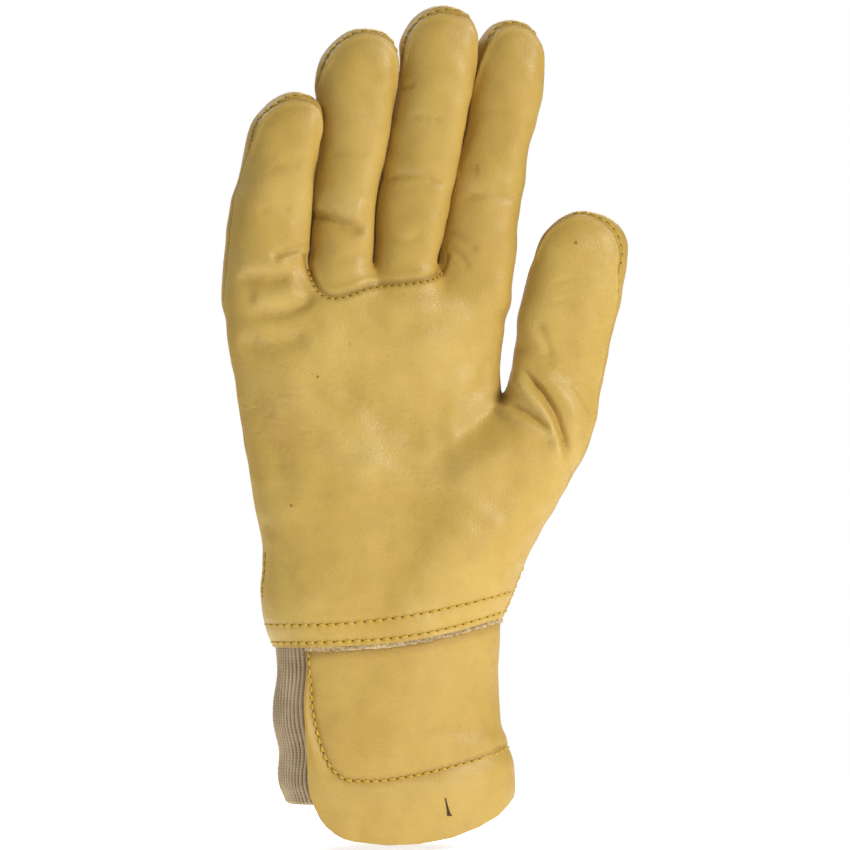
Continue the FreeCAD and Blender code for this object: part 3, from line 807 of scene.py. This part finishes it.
# Painted shade and painted highlight for the leather's colour: the deeper a point lies in a crease, seam
# groove, needle-hole dimple or the thumb's crotch, the more painted shade it gets; the higher it stands on a
# fold, welt or swell, the more painted highlight.
crotch_painted_shadow = np.exp(-(((skin[:, 0] - 37.0) / 3.0) ** 2) - ((skin[:, 2] - 157.5) / 3.0) ** 2)
crease_shade = 0.7 * crotch_painted_shadow - fold * 0.09 - fine * 0.5
crease_shade = np.clip(crease_shade + groove * 0.42 + gunn_groove * 0.6 + dimple * 0.12, 0, 1)
raised_light = np.clip(fold * 0.18 + welt * 0.45 + swell * 0.25, 0, 1)

corner_digit = digit_of[quads]
one_digit = (corner_digit == corner_digit[:, :1]).all(1)
face_digit = np.where(one_digit, corner_digit[:, 0], np.sort(corner_digit, axis=1)[:, 1])
face_digit = np.where(above_cut, face_digit, HAND)


def bumpy(material, shader, bumps):
    """Roughens the surface by one bump after the other, each (strength, depth in metres, height)."""
    below = {}
    for strength, depth, height in bumps:
        below.update(Strength=strength, Distance=depth, Height=height)
        below = {"Normal": add_node(material, "Bump", **below).outputs[0]}
    join_up(material, below["Normal"], shader, "Normal")


def one_colour(name, colour):
    """Flat matt dark that stands for the shadow inside a cut or a hole: painted shadow."""
    material, shader = new_material(name)
    shader.inputs["Base Color"].default_value = linear(colour)
    shader.inputs["Roughness"].default_value = 0.95
    return material


def leather(name, colour, deep, bright):
    """Vegetable-dyed cowhide grain, rubbed smooth: a soft broken sheen over fine pores, with painted
    shade where the 'shade' attribute is set and a paler colour where 'lift' is set (painted highlight on the
    hand)."""
    material, shader = new_material(name)
    place = add_node(material, "TexCoord").outputs["Object"]
    cloud = add_node(material, "TexNoise", Vector=place, Scale=1 / 0.030, Detail=3.0).outputs[0]
    mottle = add_node(material, "TexNoise", Vector=place, Scale=1 / 0.005, Detail=5.0).outputs[0]
    fleck = add_node(material, "TexNoise", Vector=place, Scale=1 / 0.0016, Detail=2.0).outputs[0]
    shade = add_node(material, "Attribute", {"attribute_name": "shade"}).outputs["Fac"]
    lift = add_node(material, "Attribute", {"attribute_name": "lift"}).outputs["Fac"]
    # A few insect bites and dye specks, under a millimetre across.
    bites = add_node(material, "TexVoronoi", Vector=place, Scale=1 / 0.014)
    distance, draw = bites.outputs["Distance"], bites.outputs["Color"]
    near = add_node(material, "MapRange", Value=distance, From_Min=0.055, From_Max=0.03).outputs[0]
    chosen = add_node(material, "Math", {"operation": "GREATER_THAN"}, _0=draw, _1=0.56).outputs[0]
    bitten = add_node(material, "Math", {"operation": "MULTIPLY"}, _0=near, _1=chosen).outputs[0]
    colours = layered(material, colour[0], [
        (cloud, 0.3, 0.7, 1.0, colour[1]),
        (mottle, 0.45, 0.75, 0.09, deep),
        (fleck, 0.68, 0.80, 0.16, deep),
        (bitten, 0.0, 1.0, 0.7, deep),
        # The last two layers are painted light: 'lift' lays on a paler colour (on the hand, painted highlight
        # on raised folds, welts and swells), 'shade' lays painted shade in creases, seams, needle holes and
        # under the hem.
        (lift, 0.0, 1.0, 0.45, bright),
        (shade, 0.0, 1.0, 0.85, deep),
    ])
    join_up(material, colours, shader, "Base Color")
    rough = add_node(
        material, "MapRange", Value=mottle, From_Min=0.3, From_Max=0.7, To_Min=0.40, To_Max=0.52
    ).outputs[0]
    join_up(material, rough, shader, "Roughness")
    shader.inputs["IOR"].default_value = 1.48
    shader.inputs["Specular IOR Level"].default_value = 0.42

    # Grain cells 1.3 mm across and pores of 0.7 mm, twice as coarse as real so that they show.
    edges = {"feature": "DISTANCE_TO_EDGE"}
    cells = add_node(material, "TexVoronoi", edges, Vector=place, Scale=1 / 0.0013).outputs[0]
    cell_height = add_node(material, "MapRange", Value=cells, From_Max=0.25).outputs[0]
    pores = add_node(material, "TexVoronoi", Vector=place, Scale=1 / 0.0007).outputs[0]
    bumpy(material, shader, [(0.35, 0.00012, cell_height), (0.30, 0.00008, pores), (0.22, 0.0003, mottle)])
    return material


palm_hide = leather("yellow grain cowhide, palm", ("#bf9c4b", "#c9a957"), "#6d4717", "#d9c184")
back_hide = leather("yellow grain cowhide, back", ("#bb9746", "#c4a351"), "#684314", "#d4bb7c")


def set_attribute(mesh, name, values):
    mesh.attributes.new(name, "FLOAT", "POINT").data.foreach_set("value", values.astype(np.float32))


def linked(name, mesh, material, slot, *nodes):
    """A new piece from its mesh, of one material, that stands for the CAD's nodes."""
    piece = bpy.data.objects.new(name, mesh)
    bpy.context.scene.collection.objects.link(piece)
    mesh.materials.append(material)
    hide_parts(*nodes)
    return piece


def panel(name, chosen, material, slot, *nodes):
    """One leather panel: the chosen faces of the skin, a wall one leather thick, and its cut edge."""
    faces = quads[chosen]
    used, faces = np.unique(faces, return_inverse=True)
    faces = faces.reshape(-1, 4)
    count = len(used)
    outside, direction = skin[used], normals[used]
    points = np.concatenate([outside, outside - direction * LEATHER]) * MM
    starts = faces.ravel()
    ends = np.roll(faces, -1, axis=1).ravel()
    forward = starts * count + ends
    edge = ~np.isin(forward, ends * count + starts)
    a, b = starts[edge], ends[edge]
    rim = np.stack([b, a, a + count, b + count], axis=1)
    all_faces = np.concatenate([faces, faces[:, ::-1] + count, rim])
    mesh = bpy.data.meshes.new(name)
    mesh.from_pydata(points, [], all_faces.tolist())
    mesh.shade_smooth()
    # The painted shade and painted highlight ride on the panel as its 'shade' and 'lift' attributes.
    set_attribute(mesh, "shade", np.tile(crease_shade[used], 2))
    set_attribute(mesh, "lift", np.tile(raised_light[used], 2))
    mesh.normals_split_custom_set_from_vertices(np.concatenate([direction, -direction]).tolist())
    return linked(name, mesh, material, slot, *nodes)


in_front = above_hem & ~behind_front
behind = above_hem & behind_front
on_hand = face_digit == HAND
gunn_part = on_hand & in_front & above_gunn
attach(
    panel("palm_panel", on_hand & in_front & ~above_gunn, palm_hide, "palm_leather", "palm_leather"), "hand"
)
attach(panel("back_panel", on_hand & behind, back_hide, "back_leather", "back_leather"), "hand")
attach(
    panel("gunn_cut_front", gunn_part, palm_hide, "palm_leather", "ring_and_middle_front_root"), "hand"
)

BEND_REACH = 8.0  # how far either side of a crease the span worked out below as bend reaches; nothing uses that span
for k, name in enumerate(digit_names):
    digit = DIGITS[name]
    mine = face_digit == k
    has_fourchette = name != "thumb"
    panels = [("front", mine & in_front, palm_hide, "palm_leather")]
    panels.append(("back", mine & behind & (behind_back | (not has_fourchette)), back_hide, "back_leather"))
    if has_fourchette:
        panels.append(("fourchette", mine & behind & ~behind_back, back_hide, "back_leather"))
    cut, ring, shoulder = KNUCKLE_CUT[name], MIDDLE_RING[name], digit["shoulder"]
    stretches = [
        ("lower", ~above_middle, "hand", f"{name}_base", "base", (cut, digit["knuckle"], ring)),
        ("upper", above_middle, f"{name}_base", f"{name}_end", "tip", (ring, digit["middle"], shoulder)),
    ]
    for label, chosen, material, slot in panels:
        for stretch, part, parent, child, node_end, (low, crease, high) in stretches:
            piece = panel(
                f"{name}_{label}_{stretch}", chosen & part, material, slot, f"{name}_{label}_{node_end}"
            )
            first, last = max(crease - BEND_REACH, low + 0.4), min(crease + BEND_REACH, high - 0.4)
            bend = [from_digit(digit, 0, first), from_digit(digit, 0, last)]
            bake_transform(piece)


# ---------------------------------------------------------------- cuff
# A strip of the same grain leather, 1.3 mm thick, sewn into the hem. It wraps the knit from the
# back round the thumb side to the front, and ends in a free edge with a round bottom corner.
# Below its stitches it stands away from the wrist a little.
WRIST_X = -4.6
CUFF_WIDTH, CUFF_DEPTH = 40.4, 23.0  # half sizes of its outside
CUFF_THICK = 1.3
CUFF_FREE_EDGE = [
    (16.6, -29.4), (20.1, -30), (30.9, -30.8), (41.8, -31.6), (56, -32.4), (69.3, -32.7), (80, -32.8),
]
CUFF_RIM = [
    (-29.6, 17.6), (-29, 15.3), (-27, 11.2), (-24.6, 8.2), (-21.7, 5.9), (-18.4, 4.2), (-14.4, 3.2),
    (-3, 2.1), (7.7, 2.5), (19, 4.5), (29, 8.2), (35, 11.7), (39, 15.3), (42, 19.1),
]
# (Height, how far the thumb side stands out.)
CUFF_SIDE = [
    (-2.3, 4.6), (17.7, 4.8), (21.7, 5.1), (26, 4.8), (29.9, 4.1), (33.8, 3.2), (37.8, 1.9),
    (42.2, 0.2), (45.6, -0.1), (58.3, -0.3), (71, 0.2), (90, 0.4),
]
CUFF_ROW = [
    (-31.2, 69.6), (-30.8, 59.3), (-29.8, 48.9), (-27.5, 39.4), (-23.8, 30.2), (-19.5, 25.8),
    (-16.5, 24.6), (-7, 24.3), (4.2, 25.8), (15, 28), (26.3, 31.2), (33.6, 33.9), (35.8, 35.2),
]
cuff_row = rounded_line(CUFF_ROW, 8)


def cuff_point(turn, z, grow):
    """Place on the cuff, turn from the thumb side in radians (front above 0), grown outwards."""
    front_share = smooth_step(0.35, 1.25, np.abs(turn))
    side_swell = curve_through(CUFF_SIDE, z)
    to_row = z - np.interp(WRIST_X + CUFF_WIDTH * np.cos(turn), cuff_row[5:, 0], cuff_row[5:, 1])
    front_swell = 1.7 * smooth_step(2.5, -9.0, to_row) - 0.25 * smooth_step(8.0, 0.0, to_row)
    swell = side_swell + (front_swell - side_swell) * front_share
    swell = swell + grow + 0.35 * np.sin(3.1 * turn + z / 17.0) * smooth_step(74, 60, z)
    x = WRIST_X + (CUFF_WIDTH + swell) * np.cos(turn)
    y = -(CUFF_DEPTH + swell) * np.sin(turn)
    return x, y


def cuff_edge_turn(z):
    """Turn of the free edge at height z."""
    return np.arccos(np.clip((curve_through(CUFF_FREE_EDGE, z) - WRIST_X) / (CUFF_WIDTH + 1.0), -1, 1))


def cuff_sheet(name, columns, rows, low, inset, grow, relief):
    """Sheet that follows the cuff: low(x) is its lower edge, inset how far (radians) it
    stops from the free edges, and relief(x, z, turn) lifts its surface."""
    bpy.ops.mesh.primitive_grid_add(x_subdivisions=columns, y_subdivisions=rows, size=2)
    sheet = bpy.context.object
    sheet.name = name
    flat = np.zeros(len(sheet.data.vertices) * 3)
    sheet.data.vertices.foreach_get("co", flat)
    across = np.sin(flat[0::3] * math.pi / 2)
    up = (flat[1::3] + 1) / 2
    bottom = np.full(len(across), 10.0)
    for _ in range(12):
        x, _ = cuff_point(across * (cuff_edge_turn(bottom) - inset), bottom, grow)
        bottom = low(x)
    top = curve_through(HEM_EDGE, WRIST_X + CUFF_WIDTH * np.cos(across * 2.3)) + 4.5
    z = bottom + (top - bottom) * up
    turn = across * (cuff_edge_turn(z) - inset)
    x, y = cuff_point(turn, z, grow)
    lift = relief(x, z, turn)
    x, y = cuff_point(turn, z, grow + lift)
    placed = np.stack([x, y, z], axis=1) * MM
    sheet.data.vertices.foreach_set("co", placed.ravel())
    # The outside must face away from the wrist.
    first = sheet.data.polygons[len(sheet.data.polygons) // 2]
    if first.normal.x * (first.center.x - WRIST_X * MM) + first.normal.y * first.center.y < 0:
        sheet.data.flip_normals()
    sheet.data.shade_smooth()
    return sheet, x, y, z, turn


def thicken(sheet, material, thickness, offset):
    """Gives a sheet on the cuff its material and its wall in mm: offset -1 inwards, 0 both ways."""
    sheet.data.materials.append(material)
    wall = sheet.modifiers.new("thickness", "SOLIDIFY")
    wall.thickness = thickness * MM
    wall.offset = offset
    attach(sheet, "hand")


def cuff_low(x):
    rim = np.array(CUFF_RIM)
    return np.interp(x, rim[:, 0], rim[:, 1])


def row_distance(x, z):
    """How far (x, z) lies from the cuff's row of stitches, seen from the front or back."""
    return distance_to_line(np.stack([np.minimum(x, 35.8), z], axis=1), cuff_row)[0]


def cuff_relief(x, z, turn):
    pinch = -0.42 * np.exp(-((row_distance(x, z) / 1.5) ** 2))
    places = np.stack([x, turn * 30, z], axis=1)
    wave = 0.22 * ripples(places, 26.0, 21) + 0.10 * ripples(places, 9.0, 22)
    buckle = 0.5 * np.exp(-((row_distance(x, z) - 5.0) / 3.2) ** 2) * smooth_step(24, 36, x)
    return pinch + wave * smooth_step(72, 62, z) + buckle


cuff, x, y, z, turn = cuff_sheet("cuff", 250, 110, cuff_low, 0.0, 0.0, cuff_relief)
# Painted shade on the cuff: darker in the crease along the row of stitches, and painted shadow just under the
# hem. 'lift' makes the band paler within 14 mm of the row, below 24 mm.
row_crease_shade = np.exp(-((row_distance(x, z) / 1.1) ** 2))
hem_painted_shadow = smooth_step(5.5, 2.0, curve_through(HEM_EDGE, x) - z)
set_attribute(cuff.data, "shade", np.clip(0.30 * row_crease_shade + 0.35 * hem_painted_shadow, 0, 1))
set_attribute(cuff.data, "lift", 0.25 * smooth_step(14.0, 2.0, row_distance(x, z)) * (z < 24))
cuff_hide = leather("yellow grain cowhide, cuff", ("#b89647", "#c2a253"), "#6d4717", "#d9c184")
thicken(cuff, cuff_hide, CUFF_THICK, -1)
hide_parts("cuff_leather")

# A short slit in the band at the front, a little open at its lower end: a thin dark lens laid on the leather,
# painted shadow for the inside of the cut.
SLIT = [(16.8, 18.4, 0.15), (17.2, 16.2, 0.25), (17.6, 14.2, 0.40), (17.9, 12.8, 0.60), (18.2, 12.2, 0.85)]
bpy.ops.mesh.primitive_grid_add(x_subdivisions=2, y_subdivisions=len(SLIT) - 1, size=2)
slit = bpy.context.object
slit.name = "cuff_slit"
for k, vertex in enumerate(slit.data.vertices):
    column, row = k % 3 - 1, k // 3
    sx, sz, half = SLIT[len(SLIT) - 1 - row]
    hit = np.arccos((sx + column * half - WRIST_X) / (CUFF_WIDTH + 1.7))
    sx, sz, hit = np.array([sx]), np.array([sz]), np.array([hit])
    px, py = cuff_point(hit, sz, cuff_relief(sx, sz, hit))
    vertex.co = Vector((px[0], py[0] - 0.05, sz[0])) * MM
thicken(slit, one_colour("shadow inside a cut", "#46321a"), 0.3, 0)


# ---------------------------------------------------------------- cuff facing
# White cotton drill, 0.8 mm thick, backs the cuff above its row of stitches and is caught in
# that row and in the hem.
def facing_low(x):
    return np.interp(x, cuff_row[:, 0], np.minimum.accumulate(cuff_row[:, 1])) - 1.2


drill, drill_shader = new_material("natural cotton drill")
drill_place = add_node(drill, "TexCoord").outputs["Object"]
twill = add_node(
    drill, "TexWave", {"bands_direction": "DIAGONAL"},
    Vector=drill_place, Scale=0.314 / 0.0011, Distortion=0.6,
).outputs[0]
drill_colour = layered(drill, "#b8a88a", [(twill, 0.0, 1.0, 1.0, "#d8cbb0")])
join_up(drill, drill_colour, drill_shader, "Base Color")
drill_shader.inputs["Roughness"].default_value = 0.92
bumpy(drill, drill_shader, [(0.6, 0.0002, twill)])

facing, *_ = cuff_sheet("facing_sheet", 160, 50, facing_low, 0.06, -CUFF_THICK - 0.05, cuff_relief)
thicken(facing, drill, 0.7, -1)
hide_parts("cuff_facing")


# ---------------------------------------------------------------- knitted wrist
# A ribbed cotton tube, knitted about 1.3 mm to the rib and doubled over at its lower edge. Its
# upper edge is sewn into the hem; on the little-finger side it shows where the cuff ends.
RIBS = 100
RIB_POINTS = 8  # points round each rib
KNIT_BOTTOM = 16.2
KNIT_WALL = 2.2
KNIT_DEPTH = 20.4  # half of it, front to back
KNIT_THUMB_SIDE = 37.4  # the furthest it reaches under the cuff
KNIT_SIDE = [
    (15, 34.0), (18.6, 34.9), (21.7, 36.3), (35.0, 36.4), (43.8, 38.0), (49.7, 38.2), (63.0, 37.3),
    (71.0, 37.9), (90, 38.0),
]
knit_turns = np.linspace(0, 2 * math.pi, RIBS * RIB_POINTS, endpoint=False)
outer_heights = np.linspace(76.0, KNIT_BOTTOM + 1.4, 64)
fold_angles = np.linspace(0, math.pi, 9)[1:-1]
knit_rows = [(z, 0.0) for z in outer_heights]
knit_rows += [(KNIT_BOTTOM + 1.4 * (1 - math.sin(a)), KNIT_WALL / 2 * (1 - math.cos(a))) for a in fold_angles]
knit_rows += [(z, KNIT_WALL) for z in np.linspace(KNIT_BOTTOM + 1.4, 76.0, 16)]
ridge = np.abs(np.sin(knit_turns * RIBS / 2)) ** 0.8
rings = []
for height, inward in knit_rows:
    reach = float(curve_through(KNIT_SIDE, height))
    half_x = np.where(np.cos(knit_turns) < 0, reach, np.minimum(reach, KNIT_THUMB_SIDE)) - inward
    half_y = KNIT_DEPTH - inward
    course = 0.06 * math.sin(height * 2 * math.pi / 2.1)
    rise = (0.60 * ridge - 0.3 + course * ridge) * (1 if inward < 0.3 else 0.5)
    wobble = 0.35 * np.sin(3 * knit_turns + height / 9.0) + 0.15 * np.sin(11 * knit_turns + height / 4.0)
    turned = knit_turns + 0.004 * math.sin(height / 6.0)
    rise_x = half_x + (rise if inward < 1 else -rise) + wobble
    rise_y = half_y + (rise if inward < 1 else -rise) + 0.3 * wobble
    ring_z = height + 0.9 * np.cos(turned) * smooth_step(30, 16, height)
    rings.append(np.stack([WRIST_X + rise_x * np.cos(turned), -rise_y * np.sin(turned), ring_z], axis=1))
knit_points = np.concatenate(rings) * MM
around = len(knit_turns)
columns = np.arange(around)
following = (columns + 1) % around
knit_faces = []
for row in range(len(knit_rows)):
    here, under = row * around, (row + 1) % len(knit_rows) * around
    corners = [here + columns, under + columns, under + following, here + following]
    knit_faces += np.stack(corners, axis=1).tolist()
knit_mesh = bpy.data.meshes.new("knitted_tube")
knit_mesh.from_pydata(knit_points, [], knit_faces)
if knit_mesh.polygons[3].normal.dot(Vector((1, 0, 0))) < 0:
    knit_mesh.flip_normals()
knit_mesh.shade_smooth()
# The ribs' ridge share goes on as 'lift', for the painted shade between the ribs.
set_attribute(knit_mesh, "lift", np.tile(ridge, len(knit_rows)))

cotton, cotton_shader = new_material("undyed cotton rib knit")
cotton_place = add_node(cotton, "TexCoord").outputs["Object"]
cotton_ridge = add_node(cotton, "Attribute", {"attribute_name": "lift"}).outputs["Fac"]
courses = add_node(
    cotton, "TexWave", {"bands_direction": "Z"}, Vector=cotton_place, Scale=0.314 / 0.0010, Distortion=1.5
).outputs[0]
lint = add_node(cotton, "TexNoise", Vector=cotton_place, Scale=1 / 0.0012, Detail=4.0).outputs[0]
patches = add_node(cotton, "TexNoise", Vector=cotton_place, Scale=1 / 0.009, Detail=2.0).outputs[0]
# Painted shade between the ribs: the dark brown first colour shows in the rib valleys, the undyed cotton
# colour on the ridges.
cotton_colour = layered(cotton, "#5e4933", [
    (cotton_ridge, 0.0, 1.0, 1.0, "#bda887"),
    (courses, 0.0, 1.0, 0.22, "#8a7355"),
    (patches, 0.4, 0.75, 0.5, "#cdbb9c"),
])
join_up(cotton, cotton_colour, cotton_shader, "Base Color")
cotton_shader.inputs["Roughness"].default_value = 0.95
cotton_shader.inputs["Specular IOR Level"].default_value = 0.2
bumpy(cotton, cotton_shader, [(0.45, 0.00012, courses), (0.5, 0.0002, lint)])
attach(linked("knitted_tube", knit_mesh, cotton, "rib_knit", "knit_wrist"), "hand")


# ---------------------------------------------------------------- lining's edge
# The hand's brushed lining is caught in the hem too. Its raw edge hangs 2 mm below the leather
# all along the cuff, frayed into short hairs.
random = np.random.default_rng(31)
EDGE_POINTS = 420
edge_turns = np.linspace(-2.30, 2.30, EDGE_POINTS)
coarse = random.uniform(-0.5, 0.5, EDGE_POINTS // 3)
columns = np.arange(EDGE_POINTS)
fray = np.interp(columns, columns[::3], coarse) + random.uniform(-0.15, 0.15, EDGE_POINTS)
outer_growth = [0.35 + 0.75 * math.sin(math.pi * min(k / 6, 0.9)) ** 0.5 for k in range(7)]
edge_profile = [(k / 6, growth) for k, growth in enumerate(outer_growth)]
edge_profile += [(share, 0.15) for share in np.linspace(1, 0, 4)]
edge_rows = []
for share, growth in edge_profile:
    x, y = cuff_point(edge_turns, np.full(EDGE_POINTS, 72.0), growth)
    hem = curve_through(HEM_EDGE, x)
    low = hem - 1.5 - 0.35 * fray
    edge_rows.append(np.stack([x, y, hem + 4.0 + (low - hem - 4.0) * share], axis=1))
strip_points = np.concatenate(edge_rows)
strip_faces = []
for row in range(len(edge_rows)):
    a = row * EDGE_POINTS + columns[:-1]
    b = (row + 1) % len(edge_rows) * EDGE_POINTS + columns[:-1]
    strip_faces += np.stack([a, b, b + 1, a + 1], axis=1).tolist()
strip_faces.append([row * EDGE_POINTS for row in range(len(edge_rows) - 1, -1, -1)])
strip_faces.append([row * EDGE_POINTS + EDGE_POINTS - 1 for row in range(len(edge_rows))])
hair_points = []
HAIRS = 620
for _ in range(HAIRS):
    turn = random.uniform(-2.28, 2.28)
    x, y = cuff_point(np.array([turn]), np.array([72.0]), random.uniform(0.3, 1.0))
    root = np.array([x[0], y[0], float(curve_through(HEM_EDGE, x[0])) - random.uniform(0.6, 1.5)])
    length = random.uniform(0.7, 2.0)
    out = np.array([math.cos(turn), -math.sin(turn), 0]) * random.uniform(0.0, 0.5)
    along = np.array([-math.sin(turn), -math.cos(turn), 0]) * random.uniform(-0.9, 0.9)
    tip = root + length * (out + along - np.array([0, 0, random.uniform(0.2, 0.9)]))
    first = len(strip_points) + len(hair_points)
    radius = random.uniform(0.05, 0.10)
    for k in range(3):
        a = 2 * math.pi * k / 3
        ring = np.array([math.cos(a) * math.cos(turn), -math.cos(a) * math.sin(turn), math.sin(a)])
        hair_points.append(root + radius * ring)
    hair_points.append(tip)
    strip_faces += [[first + k, first + (k + 1) % 3, first + 3] for k in range(3)]
    strip_faces.append([first + 2, first + 1, first])
edge_mesh = bpy.data.meshes.new("lining_raw_edge")
edge_mesh.from_pydata(np.concatenate([strip_points, np.array(hair_points)]) * MM, [], strip_faces)
lining = bpy.data.objects.new("lining_raw_edge", edge_mesh)
bpy.context.scene.collection.objects.link(lining)
bpy.ops.object.select_all(action="DESELECT")
lining.select_set(True)
bpy.context.view_layer.objects.active = lining
bpy.ops.object.mode_set(mode="EDIT")
bpy.ops.mesh.select_all(action="SELECT")
bpy.ops.mesh.normals_make_consistent(inside=False)
bpy.ops.object.mode_set(mode="OBJECT")
felt, felt_shader = new_material("brushed cotton lining, raw edge")
felt_place = add_node(felt, "TexCoord").outputs["Object"]
tufts = add_node(felt, "TexNoise", Vector=felt_place, Scale=1 / 0.0011, Detail=4.0).outputs[0]
felt_colour = layered(felt, "#a98b5e", [(tufts, 0.35, 0.65, 1.0, "#dcc79c")])
join_up(felt, felt_colour, felt_shader, "Base Color")
felt_shader.inputs["Roughness"].default_value = 0.97
bumpy(felt, felt_shader, [(0.9, 0.0005, tufts)])
edge_mesh.materials.append(felt)
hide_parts("lining_edge")
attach(lining, "hand")


# ---------------------------------------------------------------- threads
# Lockstitches of bright yellow polyester thread, 0.7 mm thick. Every stitch is an arch of thread
# between two needle holes, and each hole is a small dark lens of painted shadow.
THREAD = 0.45
yellow, yellow_shader = new_material("bright yellow sewing thread")
yellow_place = add_node(yellow, "TexCoord").outputs["Object"]
ply = add_node(yellow, "TexNoise", Vector=yellow_place, Scale=1 / 0.0006, Detail=2.0).outputs[0]
ply_colour = layered(yellow, "#a8831a", [(ply, 0.0, 1.0, 1.0, "#d8b83a")])
join_up(yellow, ply_colour, yellow_shader, "Base Color")
yellow_shader.inputs["Roughness"].default_value = 0.5
bumpy(yellow, yellow_shader, [(0.6, 0.0002, ply)])
hole_dark = one_colour("shadow in a needle hole", "#7c5c1c")

# One stitch's arch, as (share of the pitch, height).
ARCH = [(0.13, -0.35), (0.24, 0.14), (0.50, 0.30), (0.76, 0.14), (0.87, -0.35)]
AROUND = 6
HOLE = 0.46
GUNN_SUNK = 0.38  # how much deeper the turned seam under the fingers draws its thread


def sew(name, rows, body, sunk=0.0):
    """Threads and needle holes along the rows of holes, as one piece that stands for a CAD node."""
    points, faces, shadowed = [], [], []
    for holes, outward in rows:
        for start, end, up in zip(holes, holes[1:], outward):
            run = end - start
            up = up / np.linalg.norm(up)
            side = np.cross(up, run)
            side /= np.linalg.norm(side)
            first = len(points)
            for k, (share, height) in enumerate(ARCH):
                width = THREAD * (0.8 if k in (0, len(ARCH) - 1) else 1.0)
                for j in range(AROUND):
                    a = 2 * math.pi * j / AROUND
                    high = height - sunk + width * math.sin(a)
                    points.append(start + run * share + up * high + side * width * math.cos(a))
            for k in range(len(ARCH) - 1):
                for j in range(AROUND):
                    low, high = first + k * AROUND, first + (k + 1) * AROUND
                    faces.append([low + j, low + (j + 1) % AROUND, high + (j + 1) % AROUND, high + j])
                    shadowed.append(0)
            faces.append([first + j for j in range(AROUND - 1, -1, -1)])
            faces.append([first + (len(ARCH) - 1) * AROUND + j for j in range(AROUND)])
            shadowed += [0, 0]
        # Each needle hole: a small dark lens of painted shadow.
        for hole, up, run in zip(holes, outward, np.gradient(holes, axis=0)):
            up = up / np.linalg.norm(up)
            run = run / np.linalg.norm(run)
            side = np.cross(up, run)
            first = len(points)
            for height, size in ((-0.35, 0.8), (0.10, 1.0)):
                for j in range(AROUND):
                    a = 2 * math.pi * j / AROUND
                    out = run * math.cos(a) + 0.85 * side * math.sin(a)
                    points.append(hole + up * height + HOLE * size * out)
            for j in range(AROUND):
                nxt = (j + 1) % AROUND
                faces.append([first + j, first + nxt, first + AROUND + nxt, first + AROUND + j])
            faces.append([first + j for j in range(AROUND - 1, -1, -1)])
            faces.append([first + AROUND + j for j in range(AROUND)])
            shadowed += [1] * (AROUND + 2)
    mesh = bpy.data.meshes.new(name)
    mesh.from_pydata(np.array(points) * MM, [], faces)
    mesh.materials.append(yellow)
    mesh.materials.append(hole_dark)
    mesh.polygons.foreach_set("material_index", shadowed)
    mesh.shade_smooth()
    piece = bpy.data.objects.new(name + "_threads", mesh)
    bpy.context.scene.collection.objects.link(piece)
    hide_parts(name)
    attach(piece, body)


drawn_in = BVHTree.FromPolygons(skin.tolist(), quads.tolist())


def on_leather(row):
    """The row's holes, put back on the leather where the stitches have drawn it in."""
    holes, outward = row
    return np.array([drawn_in.find_nearest(Vector(hole))[0] for hole in holes]), outward


for name, rows in hand_rows.items():
    sew(name, [on_leather(row) for row in rows], "hand", GUNN_SUNK if name == "gunn_seam_stitching" else 0.0)
for name, row in tip_rows.items():
    sew(f"{name}_tip_stitching", [on_leather(row)], f"{name}_end")

# The cuff's row runs down one free edge, round the corner, along the band, and back up.
CUFF_PITCH = 3.05
row_turn = np.arccos(np.clip((cuff_row[:, 0] - WRIST_X) / (CUFF_WIDTH + 0.2), -1, 1))
row_z = cuff_row[:, 1]
turns = np.concatenate([row_turn, [0.0], -row_turn[::-1]])
heights = np.concatenate([row_z, [34.6], row_z[::-1]])
x, y = cuff_point(turns, heights, cuff_relief(WRIST_X + CUFF_WIDTH * np.cos(turns), heights, turns))
line = np.stack([x, y, heights], axis=1)
gone = np.concatenate([[0], np.cumsum(np.linalg.norm(np.diff(line, axis=0), axis=1))])
even = np.linspace(0, gone[-1], round(gone[-1] / CUFF_PITCH) + 1)
cuff_holes = np.stack([np.interp(even, gone, line[:, axis]) for axis in range(3)], axis=1)
cuff_outward = np.stack([cuff_holes[:, 0] - WRIST_X, cuff_holes[:, 1] * 3.0, 0 * even], axis=1)
cuff_outward /= np.linalg.norm(cuff_outward, axis=1, keepdims=True)
sew("cuff_stitching", [(cuff_holes, cuff_outward)], "hand")
